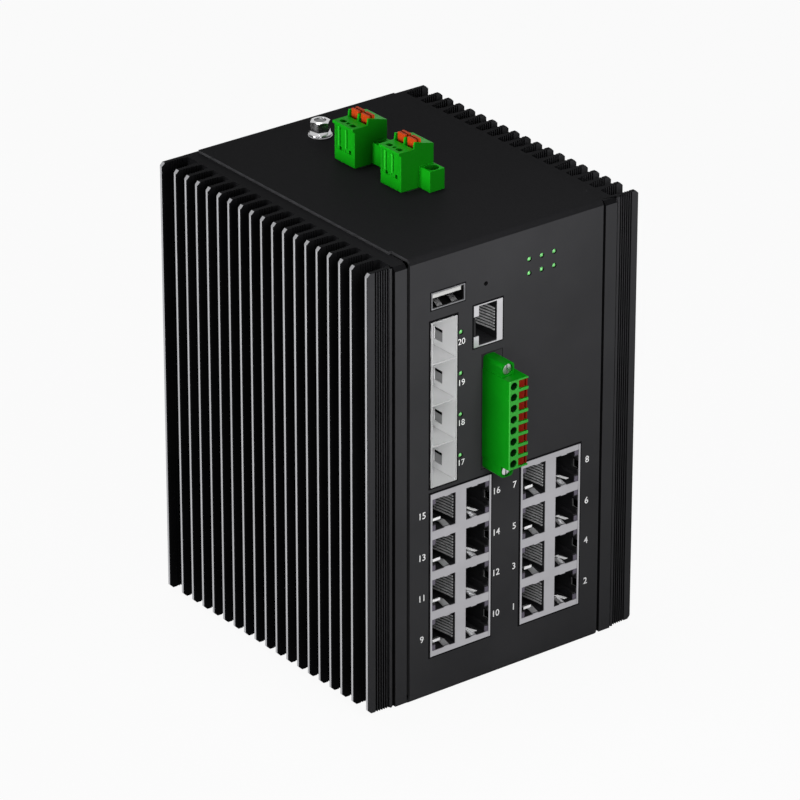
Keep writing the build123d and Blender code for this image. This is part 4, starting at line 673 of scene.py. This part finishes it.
def makeCageLatches(d):
    # behind each latch window a bright tongue below and, above it, a wall in near-black painted shade, both straight
    # strips
    levels = d["middle"] + d["pitch"] * (np.arange(d["count"]) - (d["count"] - 1) / 2)
    tongues = [[(d["x"], d["y"], z + d["low"]), (d["x"], d["y"], z + d["high"])] for z in levels]
    walls = [[(d["backX"], d["y"], z + d["low"]), (d["backX"], d["y"], z + d["backHigh"])] for z in levels]
    makeStrips("cageTongues", tongues, "Y", d["width"], d["thick"], "tongue")
    makeStrips("cageBacks", walls, "Y", d["width"] + d["wallWider"], d["thick"], "paintedShade")


makeCageLatches(cageLatches)

channelEdges = {"x": -8.86, "low": 158.9, "high": 165.5, "plugs": (17.55, -6.45), "offsets": (2.64, -0.95),
                "width": 0.42, "thick": 0.4}


def makeChannelEdges(d):
    # raised edges beside the channels of the power plugs: straight upright strips in a lighter green, a painted
    # highlight for their lit edges
    paths = [[(d["x"], y + off, d["low"]), (d["x"], y + off, d["high"])] for y in d["plugs"] for off in d["offsets"]]
    return makeStrips("channelEdges", paths, "Y", d["width"], d["thick"], "greenEdgeHighlight")


makeChannelEdges(channelEdges)

holeShadeCups = {"x": -7.7, "middle": 94.2, "pitch": 3.81, "count": 8, "radius": 1.24, "wall": 0.1,
               "front": -67.55, "back": -58.98, "floor": 0.12, "sides": 20}


def makeWireFunnels(d):
    # dark cups in the wire holes, painted shade for their depth: rings outside and inside one wall, closed by a point
    # at each end
    sides = d["sides"]
    turn = np.linspace(0, 2 * np.pi, sides, endpoint=False)
    radii = np.array([d["radius"], d["radius"], d["radius"] - d["wall"], d["radius"] - d["wall"]])
    depth = np.array([d["back"], d["front"], d["front"], d["back"] - d["floor"]])
    levels = d["middle"] + d["pitch"] * (np.arange(d["count"]) - (d["count"] - 1) / 2)
    points, faces = [], []
    rings = len(radii)
    backPoint, here = rings * sides, np.arange(sides)
    following, lastRing = (here + 1) % sides, (rings - 1) * sides
    for n, level in enumerate(levels):
        base = n * (rings * sides + 2)
        points += [np.stack([d["x"] + radii[:, None] * np.cos(turn), depth[:, None] + 0 * turn,
                             level + radii[:, None] * np.sin(turn)], -1).reshape(-1, 3)]
        points += [[[d["x"], depth[0], level], [d["x"], depth[3], level]]]
        cup = gridFaces(rings, sides) + np.column_stack([here, following, backPoint + 0 * here]).tolist()
        cup += np.column_stack([lastRing + here, lastRing + following, backPoint + 1 + 0 * here]).tolist()
        faces += [[base + i for i in face] for face in cup]
    piece = meshPiece("holeShadeCups", np.concatenate(points), faces, "holeShade", "case", 40)
    cleanNormals(piece)
    return piece


makeWireFunnels(holeShadeCups)
print("trim made")

numbers = {
    "size": 3.15, "moduleSize": 2.9, "thick": 0.03, "slim": -0.03, "moduleSlim": 0.01,
    "rows": (65.0, 50.4, 36.1, 21.5),
    "columns": ((-33.2, (15, 13, 11, 9)), (-3.7, (16, 14, 12, 10)), (3.6, (7, 5, 3, 1)), (33.0, (8, 6, 4, 2))),
    "moduleX": -17.9, "moduleRows": (120.75, 106.75, 92.95, 79.15), "modules": (20, 19, 18, 17),
}


def makeNumbers(d):
    places = [(x, z, n) for x, column in d["columns"] for z, n in zip(d["rows"], column)]
    places += [(d["moduleX"], z, n) for z, n in zip(d["moduleRows"], d["modules"])]
    parts = []
    for x, z, n in places:
        curve = bpy.data.curves.new("number", "FONT")
        curve.body = str(n)
        curve.size = (d["moduleSize"] if n in d["modules"] else d["size"]) * mm
        curve.extrude = d["thick"] / 2 * mm
        curve.offset = -(d["moduleSlim"] if n in d["modules"] else d["slim"]) * mm
        curve.align_x, curve.align_y = "CENTER", "CENTER"
        text = bpy.data.objects.new("number", curve)
        bpy.context.scene.collection.objects.link(text)
        bpy.context.view_layer.update()
        mesh = bpy.data.meshes.new_from_object(text)
        # stand the flat text up on the panel
        upright = Matrix.Rotation(np.pi / 2, 4, "X")
        mesh.transform(Matrix.Translation((x * mm, frontY - d["thick"] / 2 * mm, z * mm)) @ upright)
        bpy.data.objects.remove(text)
        parts.append(mesh)
    work = bmesh.new()
    for mesh in parts:
        work.from_mesh(mesh)
    joined = bpy.data.meshes.new("portNumbers")
    work.to_mesh(joined)
    work.free()
    joined.materials.clear()
    joined.materials.append(finishes["ink"])
    piece = bpy.data.objects.new("portNumbers", joined)
    bpy.context.scene.collection.objects.link(piece)
    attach(piece, "case")
    return piece


makeNumbers(numbers)
print("lights and numbers made")


# Softened edges on the moulded and folded parts

edges = {
    "signal_plug": 0.14, "power_plug_1": 0.16, "power_plug_2": 0.16, "signal_header": 0.12,
    "din_clip": 0.3, "din_latch": 0.15, "usb_tongue": 0.1, "usb_shell": 0.1, "console_shell": 0.05,
}
edges.update({name: 0.14 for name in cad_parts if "_lever_" in name})
for name, width in edges.items():
    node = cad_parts[name]
    weld = node.modifiers.new("weld", "WELD")
    weld.merge_threshold = 0.002 * mm
    bevel = node.modifiers.new("softEdge", "BEVEL")
    bevel.width = width * mm
    bevel.segments = 2
    bevel.limit_method = "ANGLE"
    bevel.angle_limit = np.radians(35)
print("edges softened")


# Camera at the photograph's angle

camera = {
    "place": (-0.96395, -1.25954, 0.83791),
    "back": (-0.54762, -0.71563, 0.43358),
    "lens": 246.99,
}
camData = bpy.data.cameras.new("camera")
camData.lens = camera["lens"]
camData.sensor_width = 36.0
cam = bpy.data.objects.new("camera", camData)
bpy.context.scene.collection.objects.link(cam)
back = Vector(camera["back"]).normalized()
right = Vector((0, 0, 1)).cross(back).normalized()
up = back.cross(right)
cam.matrix_world = Matrix((
    (right.x, up.x, back.x, camera["place"][0]),
    (right.y, up.y, back.y, camera["place"][1]),
    (right.z, up.z, back.z, camera["place"][2]),
    (0, 0, 0, 1),
))
camData.clip_start, camData.clip_end = 0.05, 30
bpy.context.scene.camera = cam


# Studio: floor, lamps and a plain world

studio = {
    "floorSize": 30.0,
    "keyWatts": 0.40, "keySize": 0.15, "keyPlace": (-0.03, -0.20, 0.215),
    "sideWatts": 17.0, "sideSize": 0.3, "sidePlace": (-1.2, 0.14, 0.12),
    "topWatts": 9.0, "topSize": 0.5, "topPlace": (0.0, 0.30, 1.5),
    "fillWatts": 1.6, "fillSize": 0.3, "fillPlace": (-0.62, -0.77, 0.16),
    "worldLight": 0.05, "paper": 0.5, "paperShare": 0.06,
}


def seenWhite(tree, litShader):
    # white for camera, glossy and transmission rays, and the lit shader for all others
    path = tree.nodes.new("ShaderNodeLightPath")
    either = tree.nodes.new("ShaderNodeMath")
    either.operation = "MAXIMUM"
    third = tree.nodes.new("ShaderNodeMath")
    third.operation = "MAXIMUM"
    tree.links.new(path.outputs["Is Camera Ray"], either.inputs[0])
    tree.links.new(path.outputs["Is Glossy Ray"], either.inputs[1])
    tree.links.new(either.outputs[0], third.inputs[0])
    tree.links.new(path.outputs["Is Transmission Ray"], third.inputs[1])
    mix = tree.nodes.new("ShaderNodeMixShader")
    tree.links.new(third.outputs[0], mix.inputs["Fac"])
    tree.links.new(litShader, mix.inputs[1])
    return mix


floorMat = bpy.data.materials.new("floorPaper")
floorMat.use_nodes = True
floorTree = floorMat.node_tree
paper = floorTree.nodes["Principled BSDF"]
paper.inputs["Base Color"].default_value = (studio["paper"], studio["paper"], studio["paper"], 1)
paper.inputs["Roughness"].default_value = 0.9
white = floorTree.nodes.new("ShaderNodeEmission")
white.inputs["Strength"].default_value = 1.0
seenPaper = floorTree.nodes.new("ShaderNodeMixShader")  # white, with a little of the lit paper and its shadow
seenPaper.inputs["Fac"].default_value = studio["paperShare"]
floorTree.links.new(white.outputs["Emission"], seenPaper.inputs[1])
floorTree.links.new(paper.outputs["BSDF"], seenPaper.inputs[2])
mixed = seenWhite(floorTree, paper.outputs["BSDF"])
floorTree.links.new(seenPaper.outputs["Shader"], mixed.inputs[2])
floorTree.links.new(mixed.outputs["Shader"], floorTree.nodes["Material Output"].inputs["Surface"])

half = studio["floorSize"] / 2
floorMesh = bpy.data.meshes.new("floor")
floorMesh.from_pydata([(-half, -half, 0), (half, -half, 0), (half, half, 0), (-half, half, 0)], [], [(0, 1, 2, 3)])
floorMesh.materials.append(floorMat)
floor = bpy.data.objects.new("floor", floorMesh)
floor.location.z = cadLow.z - 0.0005
bpy.context.scene.collection.objects.link(floor)
floor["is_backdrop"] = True

world = bpy.data.worlds.new("world")
bpy.context.scene.world = world
world.use_nodes = True
worldTree = world.node_tree
ambient = worldTree.nodes["Background"]
ambient.inputs["Color"].default_value = (1, 1, 1, 1)
ambient.inputs["Strength"].default_value = studio["worldLight"]
sky = worldTree.nodes.new("ShaderNodeBackground")
sky.inputs["Strength"].default_value = 1.0
skyMixed = seenWhite(worldTree, ambient.outputs["Background"])
worldTree.links.new(sky.outputs["Background"], skyMixed.inputs[2])
worldTree.links.new(skyMixed.outputs["Shader"], worldTree.nodes["World Output"].inputs["Surface"])


def softLamp(name, watts, size, place, target):
    data = bpy.data.lights.new(name, "AREA")
    data.energy, data.size = watts, size
    lamp = bpy.data.objects.new(name, data)
    lamp.location = place
    lamp.rotation_euler = (Vector(place) - Vector(target)).to_track_quat("Z", "Y").to_euler()
    bpy.context.scene.collection.objects.link(lamp)


softLamp("keyLamp", studio["keyWatts"], studio["keySize"], studio["keyPlace"], (0, 0, 0.12))
softLamp("sideLamp", studio["sideWatts"], studio["sideSize"], studio["sidePlace"], (0, 0, 0.08))
softLamp("fillLamp", studio["fillWatts"], studio["fillSize"], studio["fillPlace"], (0, 0, 0.1))
softLamp("topLamp", studio["topWatts"], studio["topSize"], studio["topPlace"], (0, 0, 0.15))
bpy.context.scene.view_settings.view_transform = "Standard"
print("camera and lights set")

low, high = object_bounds()
print("box", [round(v * 1000, 2) for v in (*low, *high)])
